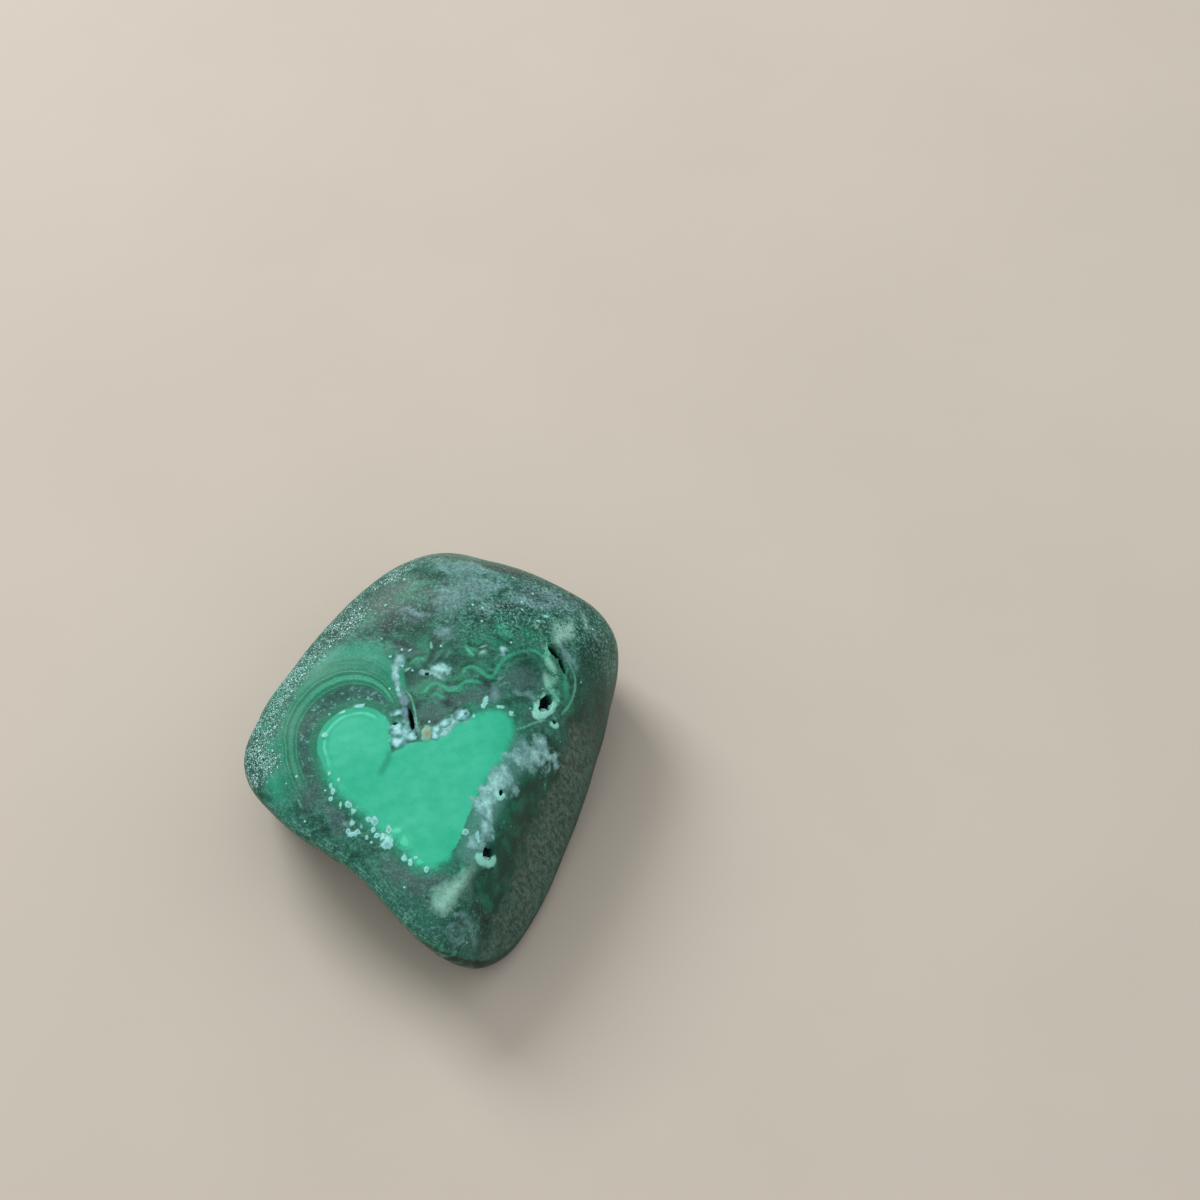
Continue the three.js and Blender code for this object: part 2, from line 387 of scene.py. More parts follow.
BLOTCHES: dict[Mark, tuple[Blotch, ...]] = {
    Mark.CHALK: (
        Blotch(0.65, 3.35, 2.1, 1.7, 12),
        Blotch(0.1, 2.95, 1.7, 0.7, 0),
        Blotch(-0.3, 3.05, 0.9, 0.8, 0),
        Blotch(-2.68, 4.0, 1.1, 2.2, 0),
        Blotch(-2.65, 3.0, 1.0, 2.2, 0),
        Blotch(-2.5, 1.9, 0.7, 1.6, 0),
        Blotch(5.7, 4.8, 0.7, 1.1, -20),
        Blotch(-0.3, 5.6, 0.7, 0.45, 40),
        Blotch(8.0, -3.5, 4.4, 2.5, 42),
        Blotch(7.2, -4.3, 2.8, 1.9, 30),
        Blotch(8.6, -2.6, 1.6, 2.0, 0),
        Blotch(9.4, -2.7, 1.4, 1.0, 0),
        Blotch(5.6, -6.3, 2.4, 2.0, 30),
        Blotch(4.8, -7.5, 2.4, 2.2, 0),
        Blotch(4.5, -8.5, 2.2, 2.0, 0),
        Blotch(4.8, -9.4, 1.3, 2.2, 0),
        Blotch(4.5, -10.4, 1.3, 2.4, 0),
        Blotch(3.95, -11.6, 1.2, 2.0, 0),
        Blotch(-2.0, -1.9, 2.5, 2.4, 0),
        Blotch(1.6, -1.6, 3.6, 1.6, 22),
    ),
    Mark.LILAC: (
        Blotch(8.5, 10.2, 4.0, 1.6, 12),
        Blotch(1.3, 6.5, 2.2, 1.5, 40),
        Blotch(6.1, 1.9, 2.0, 0.5, 0),
        Blotch(-1.4, 8.7, 3.4, 0.9, -12),
        Blotch(4.9, 1.1, 0.9, 1.8, 10),
        Blotch(7.6, 1.2, 2.6, 0.9, -10),
        Blotch(6.8, -3.1, 2.0, 2.2, 20),
        Blotch(5.9, -5.0, 1.4, 2.4, -30),
        Blotch(4.2, -8.8, 1.0, 3.4, -20),
        Blotch(2.5, -17.0, 1.2, 0.9, 10),
        Blotch(3.7, -17.4, 1.0, 0.8, 0),
        Blotch(1.9, -18.0, 1.0, 0.7, 0),
        Blotch(7.3, 9.9, 3.0, 1.6, 10),
        Blotch(5.0, 11.4, 3.0, 1.4, 0),
        Blotch(10.9, 5.9, 0.9, 2.4, 25),
        Blotch(2.4, -18.4, 1.2, 0.8, 20),
        Blotch(-6.4, -8.9, 1.2, 0.6, -40),
        Blotch(5.6, 2.6, 1.4, 0.5, 10),
        Blotch(6.9, 10.2, 2.4, 1.0, 20),
        Blotch(3.3, 9.9, 2.2, 1.0, 30),
    ),
    Mark.SLATE: (
        Blotch(-2.03, 0.94, 1.2, 1.7, 0),
        Blotch(-2.2, 1.85, 0.7, 1.1, 0),
        Blotch(-2.1, -0.35, 0.9, 1.0, 0),
        Blotch(5.2, -6.9, 1.6, 1.6, 0),
    ),
    Mark.TEAL: (
        Blotch(-3.7, -14.6, 9.0, 1.1, -50),
        Blotch(-0.2, -17.2, 6.6, 2.2, -48),
        Blotch(-2.0, -15.2, 4.0, 2.0, -45),
        Blotch(1.6, -12.9, 3.0, 1.4, 20),
        Blotch(3.9, -18.0, 3.6, 2.6, 0),
    ),
    Mark.STRAW: (
        Blotch(4.1, 4.85, 0.8, 0.4, -5),
        Blotch(4.1, 4.3, 0.7, 0.5, 0),
        # Painted glints set as small pale blotches: these three, at (8.4, 8.1), (8.9, 9.0) and (11.9,
        # 10.0).
        Blotch(8.4, 8.1, 0.8, 0.5, -30),
        Blotch(8.9, 9.0, 0.6, 0.5, 20),
        Blotch(11.9, 10.0, 0.6, 1.4, 10),
        Blotch(10.4, 7.6, 2.8, 1.9, 60),
        Blotch(9.4, 4.6, 0.9, 1.5, 30),
        Blotch(9.2, 3.0, 0.9, 1.8, 0),
        Blotch(10.3, 8.4, 2.0, 2.6, 0),
        # A pale band along the lower ridge, its pale tone partly a painted soft highlight: these two
        # blotches.
        Blotch(2.2, -15.1, 6.6, 2.2, 47),
        Blotch(1.3, -16.2, 3.4, 1.9, 50),
        Blotch(-1.5, 3.4, 0.5, 0.45, 0),
    ),
    Mark.MINT: (
        Blotch(-5.2, 5.6, 4.6, 2.4, 8),
        Blotch(5.9, 7.2, 2.2, 1.4, -10),
        Blotch(3.1, 4.7, 1.6, 0.6, -50),
        Blotch(1.7, 1.45, 1.7, 0.7, 0),
        Blotch(4.6, 2.5, 1.1, 0.7, 0),
        Blotch(-2.1, 3.0, 1.1, 2.6, 5),
        Blotch(10.8, 3.4, 0.9, 3.0, 0),
        Blotch(9.9, 1.9, 0.8, 1.4, 0),
        Blotch(1.4, -19.0, 1.0, 0.6, -30),
        Blotch(4.3, -18.0, 1.5, 0.6, 10),
        Blotch(2.3, -19.1, 0.8, 0.5, 0),
        Blotch(2.7, -13.6, 1.6, 1.0, 60),
        Blotch(-5.4, -6.6, 1.2, 2.0, 50),
    ),
    Mark.LEAF: (
        Blotch(-1.4, 11.0, 3.0, 1.6, 30),
        Blotch(-1.2, 5.9, 3.0, 2.2, 20),
        Blotch(-6.2, 8.4, 3.4, 1.6, 45),
        Blotch(5.8, 6.9, 3.4, 2.0, 10),
        Blotch(8.2, 7.2, 3.4, 1.8, -10),
        Blotch(3.5, -0.1, 1.6, 1.6, 0),
        Blotch(10.6, 2.8, 1.4, 3.8, 10),
        Blotch(3.8, 5.8, 2.2, 1.4, 0),
        Blotch(5.2, 5.5, 3.6, 1.2, -10),
        Blotch(-0.4, 1.8, 2.0, 1.2, 20),
        Blotch(1.7, 2.6, 3.0, 1.0, 10),
        Blotch(-4.6, -13.2, 6.0, 0.6, -50),
        Blotch(5.6, -0.7, 1.6, 0.7, 0),
        Blotch(8.6, -2.0, 1.4, 1.0, 30),
        Blotch(5.9, -10.4, 3.4, 1.3, 72),
        Blotch(4.5, -14.9, 1.4, 0.9, 60),
    ),
    Mark.DEEP: (
        Blotch(4.2, -14.2, 3.4, 2.2, 60),
        # The next mark, on the top-left facet, is partly the stone's dark green and partly painted shade
        # where the key light falls brightest.
        Blotch(-4.4, 10.6, 6.0, 4.4, 40),
        Blotch(-7.4, 8.9, 4.0, 2.6, 45),
        Blotch(-1.9, 8.6, 4.6, 3.0, 20),
        Blotch(-0.6, 12.4, 4.0, 1.8, 10),
        Blotch(13.0, 6.6, 8.4, 3.2, 85),
        Blotch(11.8, 2.2, 4.0, 2.4, 75),
        Blotch(2.9, 4.0, 2.8, 1.6, 0),
        Blotch(-1.1, 2.9, 2.0, 1.6, 0),
        Blotch(1.6, 2.4, 2.6, 1.0, 0),
        Blotch(7.5, 4.1, 3.4, 1.2, 20),
        Blotch(-1.0, 6.9, 3.4, 2.0, 0),
        Blotch(-11.0, -4.6, 2.6, 3.2, 0),
        Blotch(-5.2, -12.4, 4.0, 1.4, -48),
    ),
    Mark.PLUM: (
        Blotch(7.7, 11.6, 3.8, 2.6, -20),
        Blotch(6.0, 9.1, 2.2, 1.7, 0),
        Blotch(10.2, 12.2, 3.8, 1.6, -35),
        Blotch(-1.5, 8.3, 4.0, 2.0, -15),
        Blotch(-2.3, 5.6, 3.0, 1.7, -20),
        Blotch(3.1, 0.6, 4.2, 1.6, 8),
        Blotch(1.4, 0.3, 3.0, 1.5, 0),
        Blotch(4.7, 1.2, 3.2, 1.7, 0),
        Blotch(7.2, 2.6, 4.0, 3.0, 0),
        Blotch(0.0, -0.5, 2.6, 2.4, 0),
        Blotch(-1.4, -14.0, 6.4, 2.4, -42),
        Blotch(0.6, -14.5, 2.6, 1.7, 0),
        Blotch(-7.2, -8.6, 5.0, 2.0, -42),
        Blotch(-9.3, -6.2, 2.4, 4.2, 10),
        Blotch(8.3, -0.9, 2.2, 1.2, 0),
    ),
    Mark.DUST: (
        Blotch(3.0, 13.4, 9.0, 2.8, -8),
        Blotch(4.6, 8.9, 3.4, 2.4, 40),
        Blotch(1.7, 9.6, 4.6, 4.0, 20),
        Blotch(2.9, 11.3, 5.6, 3.8, -10),
        Blotch(7.3, 10.4, 4.0, 2.6, 0),
        Blotch(3.6, -17.7, 3.4, 2.4, 0),
        Blotch(9.6, 11.4, 6.6, 3.0, -32),
        Blotch(12.6, 9.4, 4.0, 1.6, -55),
    ),
    Mark.BROWN: (
        Blotch(5.5, 14.0, 8.0, 1.6, -14),
        Blotch(0.6, 15.4, 4.0, 1.2, 0),
    ),
    Mark.INK: (
        Blotch(-3.6, 8.1, 3.2, 2.0, 75),
        Blotch(-0.4, 4.8, 1.5, 0.9, 70),
        Blotch(0.6, 4.6, 1.8, 0.8, 30),
        Blotch(4.3, -15.6, 1.8, 1.4, 40),
        Blotch(-2.6, 6.2, 1.8, 1.1, 0),
        Blotch(6.2, 9.0, 1.4, 0.8, 0),
        Blotch(1.5, 0.3, 1.6, 0.8, 0),
        Blotch(4.0, 1.7, 1.6, 0.9, 0),
    ),
    # Left and top-left edges, where the frosting and its painted glints are heaviest.
    Mark.FROST: (
        Blotch(-13.4, 0.4, 9.0, 4.6, 62),
        Blotch(-11.0, 5.0, 8.0, 4.2, 48),
        Blotch(-7.6, 8.4, 7.0, 3.6, 42),
        Blotch(-13.6, -3.0, 6.0, 4.0, 80),
        Blotch(-4.2, 12.9, 7.0, 2.6, 30),
    ),
}


class Growth(Enum):
    """Kinds of lumps grown on the upper face; the value is the name of their attribute."""

    CRUST = "crust"
    MINT = "mint_crust"
    DRUSE = "druse"
    STAINED = "stained"


GROWTHS: dict[Growth, tuple[Blotch, ...]] = {
    Growth.CRUST: (
        Blotch(-8.35, -1.45, 0.65, 0.5, 30, 0.05),
        Blotch(-7.0, 0.45, 0.8, 0.3, 25, 0.02),
        Blotch(-5.7, 0.85, 1.0, 0.35, 0, 0.03),
        Blotch(-7.8, -4.8, 0.34, 0.4, 0, 0.04),
        Blotch(-7.67, -5.8, 0.4, 0.42, 0, 0.04),
        Blotch(-7.5, -6.3, 0.38, 0.6, 0, 0.04),
        Blotch(-7.65, -6.95, 0.38, 0.4, 0, 0.04),
        Blotch(-7.1, -5.4, 0.3, 0.5, 0, 0.02),
        Blotch(-6.85, -7.5, 0.28, 0.8, 0, 0.02),
        Blotch(-6.25, -7.5, 0.6, 0.62, 0, 0.07),
        Blotch(-5.8, -8.05, 0.66, 0.68, 0, 0.06),
        Blotch(-5.95, -8.9, 0.42, 0.7, 0, 0.03),
        Blotch(-6.2, -9.65, 0.42, 0.6, 0, 0.07),
        Blotch(-5.9, -9.95, 0.7, 0.42, 0, 0.09),
        Blotch(-5.45, -9.75, 0.55, 0.5, 0, 0.07),
        Blotch(-5.2, -9.3, 0.34, 0.5, 0, 0.02),
        Blotch(-4.6, -8.8, 0.6, 0.6, 0, 0.04),
        Blotch(-4.15, -9.0, 0.5, 0.8, 0, 0.05),
        Blotch(-4.25, -9.8, 0.38, 0.7, 0, 0.05),
        Blotch(-4.65, -10.3, 0.4, 0.55, 0, 0.03),
        Blotch(-4.35, -10.7, 0.3, 0.3, 0, 0.02),
        Blotch(-3.9, -10.2, 0.6, 0.42, 0, 0.05),
        Blotch(-3.1, -10.95, 1.15, 1.15, 0, 0.16),
        Blotch(-3.0, -9.8, 0.46, 0.8, 0, 0.05),
        Blotch(-3.5, -10.4, 0.4, 0.65, 0, 0.05),
        Blotch(-1.65, -12.4, 0.55, 0.85, 0, 0.07),
        Blotch(-1.2, -12.8, 0.45, 0.7, 0, 0.06),
        Blotch(-0.85, -12.5, 0.4, 0.3, 0, 0.03),
        Blotch(0.0, -13.55, 0.4, 0.5, 0, 0.05),
        Blotch(3.0, -10.8, 0.5, 0.5, 0, 0.05),
        Blotch(3.95, -11.3, 0.5, 1.2, 0, 0.03),
        Blotch(3.5, -0.98, 0.34, 0.45, 0, 0.04),
        Blotch(4.25, -0.1, 0.5, 0.55, 0, 0.04),
        Blotch(4.35, 0.35, 0.5, 0.8, 5, 0.05),
        Blotch(5.5, -0.2, 0.75, 0.42, 20, 0.03),
        Blotch(6.45, -0.7, 0.8, 0.5, -25, 0.03),
        # Painted glints set as tiny crust: the specks at (-3.3, 4.95), (-1.75, 5.35), (-3.9, 9.85), (-0.75,
        # 7.35), (8.4, 8.4) and (9.0, 9.1).
        Blotch(-3.3, 4.95, 0.3, 0.3, 0, 0.04),
        Blotch(-2.6, 1.95, 0.3, 0.5, 0, 0.04),
        Blotch(-2.35, 4.0, 0.3, 0.25, 0, 0.03),
        Blotch(-1.75, 5.35, 0.42, 0.22, 30, 0.03),
        Blotch(-3.9, 9.85, 0.35, 0.2, 40, 0.03),
        Blotch(-0.75, 7.35, 0.3, 0.2, -30, 0.03),
        Blotch(8.4, 8.4, 0.45, 0.3, 0, 0.03),
        Blotch(9.0, 9.1, 0.5, 0.3, 30, 0.03),
        Blotch(-1.5, 3.5, 0.28, 0.28, 0, 0.03),
    ),
    Growth.MINT: (
        Blotch(-2.35, -10.1, 0.9, 0.6, 0, 0.02),
        Blotch(-1.7, -11.05, 0.7, 1.0, 10, 0.02),
        Blotch(-0.5, -12.9, 0.8, 0.5, 0, 0.02),
        Blotch(-7.9, -4.1, 0.3, 0.4, 0, 0.01),
    ),
    Growth.DRUSE: (
        Blotch(-2.5, -1.6, 1.5, 1.6, 0, 0.2),
        Blotch(-2.55, -2.75, 1.3, 1.15, 0, 0.11),
        Blotch(-1.5, -2.3, 1.2, 1.1, 0, 0.08),
        Blotch(-1.95, -1.75, 1.2, 1.4, 0, 0.1),
        Blotch(-2.65, -0.15, 1.2, 0.7, 0, 0.03),
        Blotch(0.45, -2.35, 0.75, 1.1, 0, 0.06),
        Blotch(0.55, -2.0, 0.9, 0.9, 0, 0.06),
        Blotch(1.2, -1.45, 1.1, 0.8, 20, 0.06),
        Blotch(2.55, -0.8, 1.5, 1.2, 10, 0.07),
    ),
    Growth.STAINED: (
        Blotch(-0.16, -2.2, 1.1, 1.5, 0, 0.08),
    ),
}


@dataclass(frozen=True)
class LobedPatch:
    """The pale patch of two lobes: an arc round its left lobe, then points round the rest."""

    lobe: Place = (-5.92, -2.2)
    lobe_radius: float = 3.0
    lobe_from: float = 200.0
    lobe_to: float = 5.0
    lobe_steps: int = 14
    rest: tuple[Place, ...] = (
        (-3.05, -3.5),
        (-2.3, -3.1),
        (-1.2, -2.85),
        (0.1, -2.75),
        (1.6, -1.8),
        (3.2, -1.1),
        (4.7, -0.55),
        (5.9, -0.75),
        (6.55, -1.6),
        (6.5, -2.9),
        (5.8, -4.6),
        (4.8, -6.2),
        (3.85, -7.9),
        (3.1, -9.8),
        (2.4, -11.7),
        (1.5, -12.95),
        (0.3, -13.45),
        (-0.8, -13.0),
        (-2.1, -11.2),
        (-3.4, -10.1),
        (-4.7, -8.6),
        (-6.0, -7.4),
        (-7.2, -6.2),
        (-8.1, -4.9),
    )
    ring_gap: float = 2.72
    ring_far: float = 108.0
    ring_spread_left: float = 130.0
    ring_spread_right: float = 69.0
    ring_least: float = 0.95

    def outline(self) -> np.ndarray:
        """The patch's closed outline in plan.

        Returns:
            Its points, one row each, the first one repeated at the end.
        """
        turns = np.radians(np.linspace(self.lobe_from, self.lobe_to, self.lobe_steps))
        ways = np.stack([np.cos(turns), np.sin(turns)], axis=1)
        arc = np.array(self.lobe) + self.lobe_radius * ways
        return rounded([*arc, *self.rest], closed=True, steps=5)

    def gap(self, places: np.ndarray) -> np.ndarray:
        """Distance of places from the outline.

        Args:
            places: places in plan, one row each.

        Returns:
            The distance of each, negative inside the patch.
        """
        outline = self.outline()
        apart = np.abs(gap_to_path(places, outline)[0])
        return np.where(inside_outline(places, outline), -apart, apart)

    def bearing(self, places: np.ndarray) -> np.ndarray:
        """Way of places from the left lobe's middle, in degrees from 0 to 360."""
        away = places - np.array(self.lobe)
        return np.degrees(np.arctan2(away[:, 1], away[:, 0])) % 360.0

    def rings(self, places: np.ndarray, gap: np.ndarray) -> np.ndarray:
        """Ring number of places outside the left lobe.

        Args:
            places: places in plan, one row each.
            gap: their distance from the patch.

        Returns:
            0 at the patch and 1 at the bright ring.
        """
        bearing = np.minimum(self.bearing(places), 180.0)
        spread = np.where(bearing > self.ring_far, self.ring_spread_left, self.ring_spread_right)
        width = self.ring_gap * np.exp(-(((bearing - self.ring_far) / spread) ** 2))
        return gap / np.maximum(width, self.ring_least)


SCALLOPS: tuple[tuple[Place, ...], ...] = (
    (
        (2.5, 2.6), (2.7, 3.2), (3.2, 3.4), (3.7, 3.2), (4.1, 2.8), (4.5, 2.5), (4.9, 2.5), (5.1, 2.9),
        (5.4, 3.6), (5.9, 4.3), (6.6, 4.9), (7.4, 5.3), (8.2, 5.5), (8.8, 5.2), (9.2, 4.6),
    ),
    (
        (-1.2, 1.4), (-0.5, 1.5), (-0.1, 2.0), (0.5, 2.1), (1.0, 1.8), (1.5, 1.4), (1.9, 1.4), (2.4, 1.8),
        (2.9, 2.1), (3.6, 2.0), (4.4, 1.8),
    ),
    ((-0.2, 0.9), (0.4, 1.2), (0.9, 0.9), (1.4, 0.5)),
    ((-2.0, 3.9), (-1.4, 4.4), (-0.8, 4.5), (-0.2, 4.2)),
    ((2.4, 5.6), (2.9, 5.1), (3.3, 5.0), (3.8, 4.7)),
)

VEINS: tuple[tuple[Place, ...], ...] = (
    ((10.7, 5.5), (11.1, 4.9), (11.4, 4.1), (11.3, 2.8), (10.8, 1.5), (10.2, 0.5)),
    ((9.2, -0.4), (8.3, -1.0), (7.5, -1.6), (6.5, -2.2)),
    ((-2.1, 1.9), (-1.6, 1.2), (-1.35, 0.4), (-1.15, -0.5), (-1.05, -1.3), (-0.9, -1.9)),
    ((2.6, 5.2), (3.1, 4.7), (3.5, 4.3)),
    ((9.0, 6.8), (9.2, 5.9), (9.3, 4.8)),
    ((-10.4, -6.5), (-10.1, -7.0), (-9.8, -7.6)),
)

BAND: tuple[Place, ...] = (
    (9.0, 6.6), (9.2, 5.7), (9.25, 4.8), (9.6, 4.2), (9.8, 3.6), (9.4, 2.9), (9.2, 2.1),
)

CREASE: tuple[Place, ...] = ((-3.1, -3.1), (-3.15, -3.8), (-3.5, -4.7), (-3.9, -5.5))

DEEP_BAND: tuple[Place, ...] = (
    (10.2, -1.2), (9.3, -3.0), (8.4, -4.8), (7.8, -6.2), (7.4, -7.6), (6.7, -9.1), (6.2, -10.4),
    (5.7, -11.6), (5.0, -13.6), (4.3, -14.9), (3.9, -15.9),
)

PALE_STRIP: tuple[Place, ...] = (
    (7.9, -2.9), (6.7, -4.7), (5.3, -6.9), (4.7, -8.6), (4.0, -10.2), (3.5, -11.8), (2.9, -13.4),
)

BEVEL: tuple[Place, ...] = (
    (17.5, 9.0), (14.2, 5.7), (12.6, 2.8), (11.2, 0.6), (10.5, -0.9), (10.0, -2.6), (9.3, -4.3),
    (8.7, -5.8), (8.1, -7.4), (7.5, -9.0), (6.8, -11.0), (6.3, -12.6), (5.8, -14.0), (5.0, -15.7),
    (4.3, -17.3), (3.9, -20.0),
)


class Markings:
    """Works out, for every vertex of the skin, the fields that its finish and relief follow."""

    pit_reach: float = 1.5
    hidden_gap: float = 3.0
    least_rise: float = 0.05

    def __init__(self, points: np.ndarray, normals: np.ndarray, block: WornBlock) -> None:
        """Keeps what the fields are worked out from.

        Args:
            points: the skin's points, one row each.
            normals: their outward directions.
            block: the form that they lie on.
        """
        self.points = points
        self.normals = normals
        self.block = block
        self.places = points[:, :2]
        self.upper = smoothstep(normals[:, 2], 0.0, 0.3)
        self.fields: dict[str, np.ndarray] = {"upper": self.upper}

    def add_patch(self, patch: LobedPatch) -> None:
        """Adds the pale patch and the rings round its left lobe.

        Args:
            patch: the patch's outline and rings.
        """
        gap = patch.gap(self.places)
        hidden = self.normals[:, 2] < 0.0
        gap[hidden] = np.maximum(gap[hidden], self.hidden_gap)
        bearing = patch.bearing(self.places)
        share = smoothstep(bearing, 40.0, 56.0) * smoothstep(bearing, 238.0, 204.0)
        self.fields["patch_gap"] = gap
        right = self.places @ np.array([0.9, 0.45])
        self.fields["patch_soft"] = 0.1 + 0.42 * smoothstep(right, -1.5, 2.0)
        self.fields["ring"] = patch.rings(self.places, gap)
        self.fields["ring_share"] = share * self.upper
        self.fields["ring_bold"] = smoothstep(bearing, 160.0, 105.0)
        lower_left = (self.places - np.array([-2.5, -6.0])) @ np.array([-0.65, -0.76])
        self.fields["fringe"] = smoothstep(lower_left, 1.6, 3.4)

    def add_lines(self, name: str, lines: Iterable[Sequence[Place]], fade: float) -> None:
        """Adds the distance to the nearest of a group of lines, and its share, less at line ends.

        Args:
            name: the field's name.
            lines: the lines' points in plan.
            fade: how far from its ends a line fades.
        """
        nearest = np.full(len(self.places), FAR_OFF)
        nearest_share = np.zeros(len(self.places))
        for line in lines:
            gap, way = gap_to_path(self.places, rounded(line, closed=False, steps=4))
            end = way.max()
            share = smoothstep(way, 0.0, fade) * smoothstep(way, end, end - fade)
            closer = np.abs(gap) < nearest
            nearest = np.where(closer, np.abs(gap), nearest)
            nearest_share = np.where(closer, share, nearest_share)
        self.fields[name] = nearest
        self.fields[f"{name}_share"] = nearest_share * self.upper

    def add_bevel(self, line: Sequence[Place]) -> None:
        """Adds the distance past the line where the worn right bevel begins."""
        gap = gap_to_path(self.places, rounded(line, closed=False, steps=3))[0]
        self.fields["bevel"] = gap + 0.25 * swell(self.points, 2.2, seed=31)

    def add_blotches(self, groups: dict[Mark, tuple[Blotch, ...]]) -> None:
        """Adds one field for each kind of blotch, with the ovals drawn out of shape.

        Args:
            groups: the blotches of each kind.
        """
        drift = np.stack([swell(self.points, 2.4, seed=21), swell(self.points, 2.4, seed=22)], axis=1)
        places = self.places + 0.28 * drift
        for mark, blotches in groups.items():
            cover = np.max([blotch.cover(places) for blotch in blotches], axis=0)
            self.fields[mark.value] = np.where(self.normals[:, 2] > self.least_rise, cover, -1.0)

    def add_wear(self) -> None:
        """Adds how frosted the worn edges are, with painted glints weighted to the left-facing edges that
        the key light catches, and where the hidden sides show their bands.
        """
        level = self.normals[:, :2] / np.maximum(np.linalg.norm(self.normals[:, :2], axis=1), 1e-6)[:, None]
        rounding = smoothstep(self.normals[:, 2], 0.965, 0.8)
        # Painted glints: the frosting is weighted to edges that face the key light at the left.
        left = smoothstep(level @ facing(142, 0)[:2], 0.45, 0.9)
        worn = rounding * (0.08 + 0.42 * left) * smoothstep(self.normals[:, 2], -0.3, 0.6)
        bruise_and_glint_share = smoothstep(self.fields[Mark.FROST.value], -0.1, 0.85)
        self.fields["frost"] = np.maximum(worn, bruise_and_glint_share)
        plain = smoothstep(self.normals @ facing(-22, 15), 0.15, 0.7)
        self.fields["banded"] = (1.0 - self.upper) * (1.0 - plain)
        far = smoothstep(self.places[:, 1], 4.5, 8.5)
        near = smoothstep(self.places[:, 1], -13.5, -16.5)
        calm = 1.0 - 0.45 * self.fields["ring_share"]
        rough = 0.16 + 0.84 * far + 0.15 * near + 0.14 * self.fields["fringe"]
        self.fields["rough"] = self.upper * calm * np.clip(rough, 0.0, 1.0)
        lower_left = smoothstep(level @ facing(232, 0)[:2], 0.4, 0.85)
        self.fields["strata"] = lower_left * smoothstep(self.normals[:, 2], 0.95, 0.75)

    def add_growths(self, groups: dict[Growth, tuple[Blotch, ...]]) -> np.ndarray:
        """Adds one field for each kind of lump.

        Args:
            groups: the lumps of each kind.

        Returns:
            How far the lumps raise each vertex.
        """
        upward = self.normals[:, 2] > self.least_rise
        relief = np.zeros(len(self.points))
        ragged = 0.09 * swell(self.points, 0.7, seed=5)
        for growth, lumps in groups.items():
            cover = np.full(len(self.points), -1.0)
            for lump in lumps:
                share = lump.cover(self.places) + ragged
                cover = np.maximum(cover, share)
                dome = np.clip(share, 0.0, 1.0)
                relief = np.maximum(relief, lump.height * np.sqrt(dome * (2.0 - dome)))
            self.fields[growth.value] = np.where(upward, cover, -1.0)
        return relief * upward

    def add_pits(self, pits: Iterable[Pit]) -> np.ndarray:
        """Adds the pits' depth and rims.

        Args:
            pits: the pits.

        Returns:
            How far each vertex moves, one vector each.
        """
        moves = np.zeros_like(self.points)
        depth_share = np.zeros(len(self.points))
        rim = np.zeros(len(self.points))
        ragged = 0.1 * swell(self.points, 0.9, seed=8)
        for pit in pits:
            axes = np.array(self.block.axes(pit.x, pit.y, pit.turn))
            arms = (self.points - self.block.seat(pit.x, pit.y)) @ axes
            near = np.abs(arms[:, 2]) < self.pit_reach
            along = arms[:, 0] / (pit.length / 2.0)
            across = arms[:, 1] / (pit.width / 2.0 * (1.0 + pit.taper * np.clip(along, -1.0, 1.0)))
            radius = np.hypot(along, across) + ragged
            radius[~near] = FAR_OFF
            bowl = np.sqrt(np.clip(1.0 - radius**2, 0.0, 1.0))
            moves -= np.outer(np.maximum(bowl - depth_share, 0.0) * pit.depth, axes[:, 2])
            depth_share = np.maximum(depth_share, bowl)
            if pit.lip > 0.0:
                away = self.places - np.array([pit.x, pit.y])
                away = away / np.maximum(np.linalg.norm(away, axis=1), 1e-6)[:, None]
                side = smoothstep(away @ facing(pit.lean, 0)[:2], -0.4, 0.7)
                side = pit.wrap + (1.0 - pit.wrap) * side
                thickness = pit.rim / math.sqrt(pit.length * pit.width)
                ring = np.exp(-(((radius - 1.0 - thickness / 2.0) / thickness) ** 2)) * side
                ring[radius < 1.0] *= 0.3
                rim = np.maximum(rim, ring)
                moves += np.outer(ring * pit.lip, axes[:, 2])
        self.fields["cavity"] = depth_share
        self.fields["rim"] = rim
        return moves


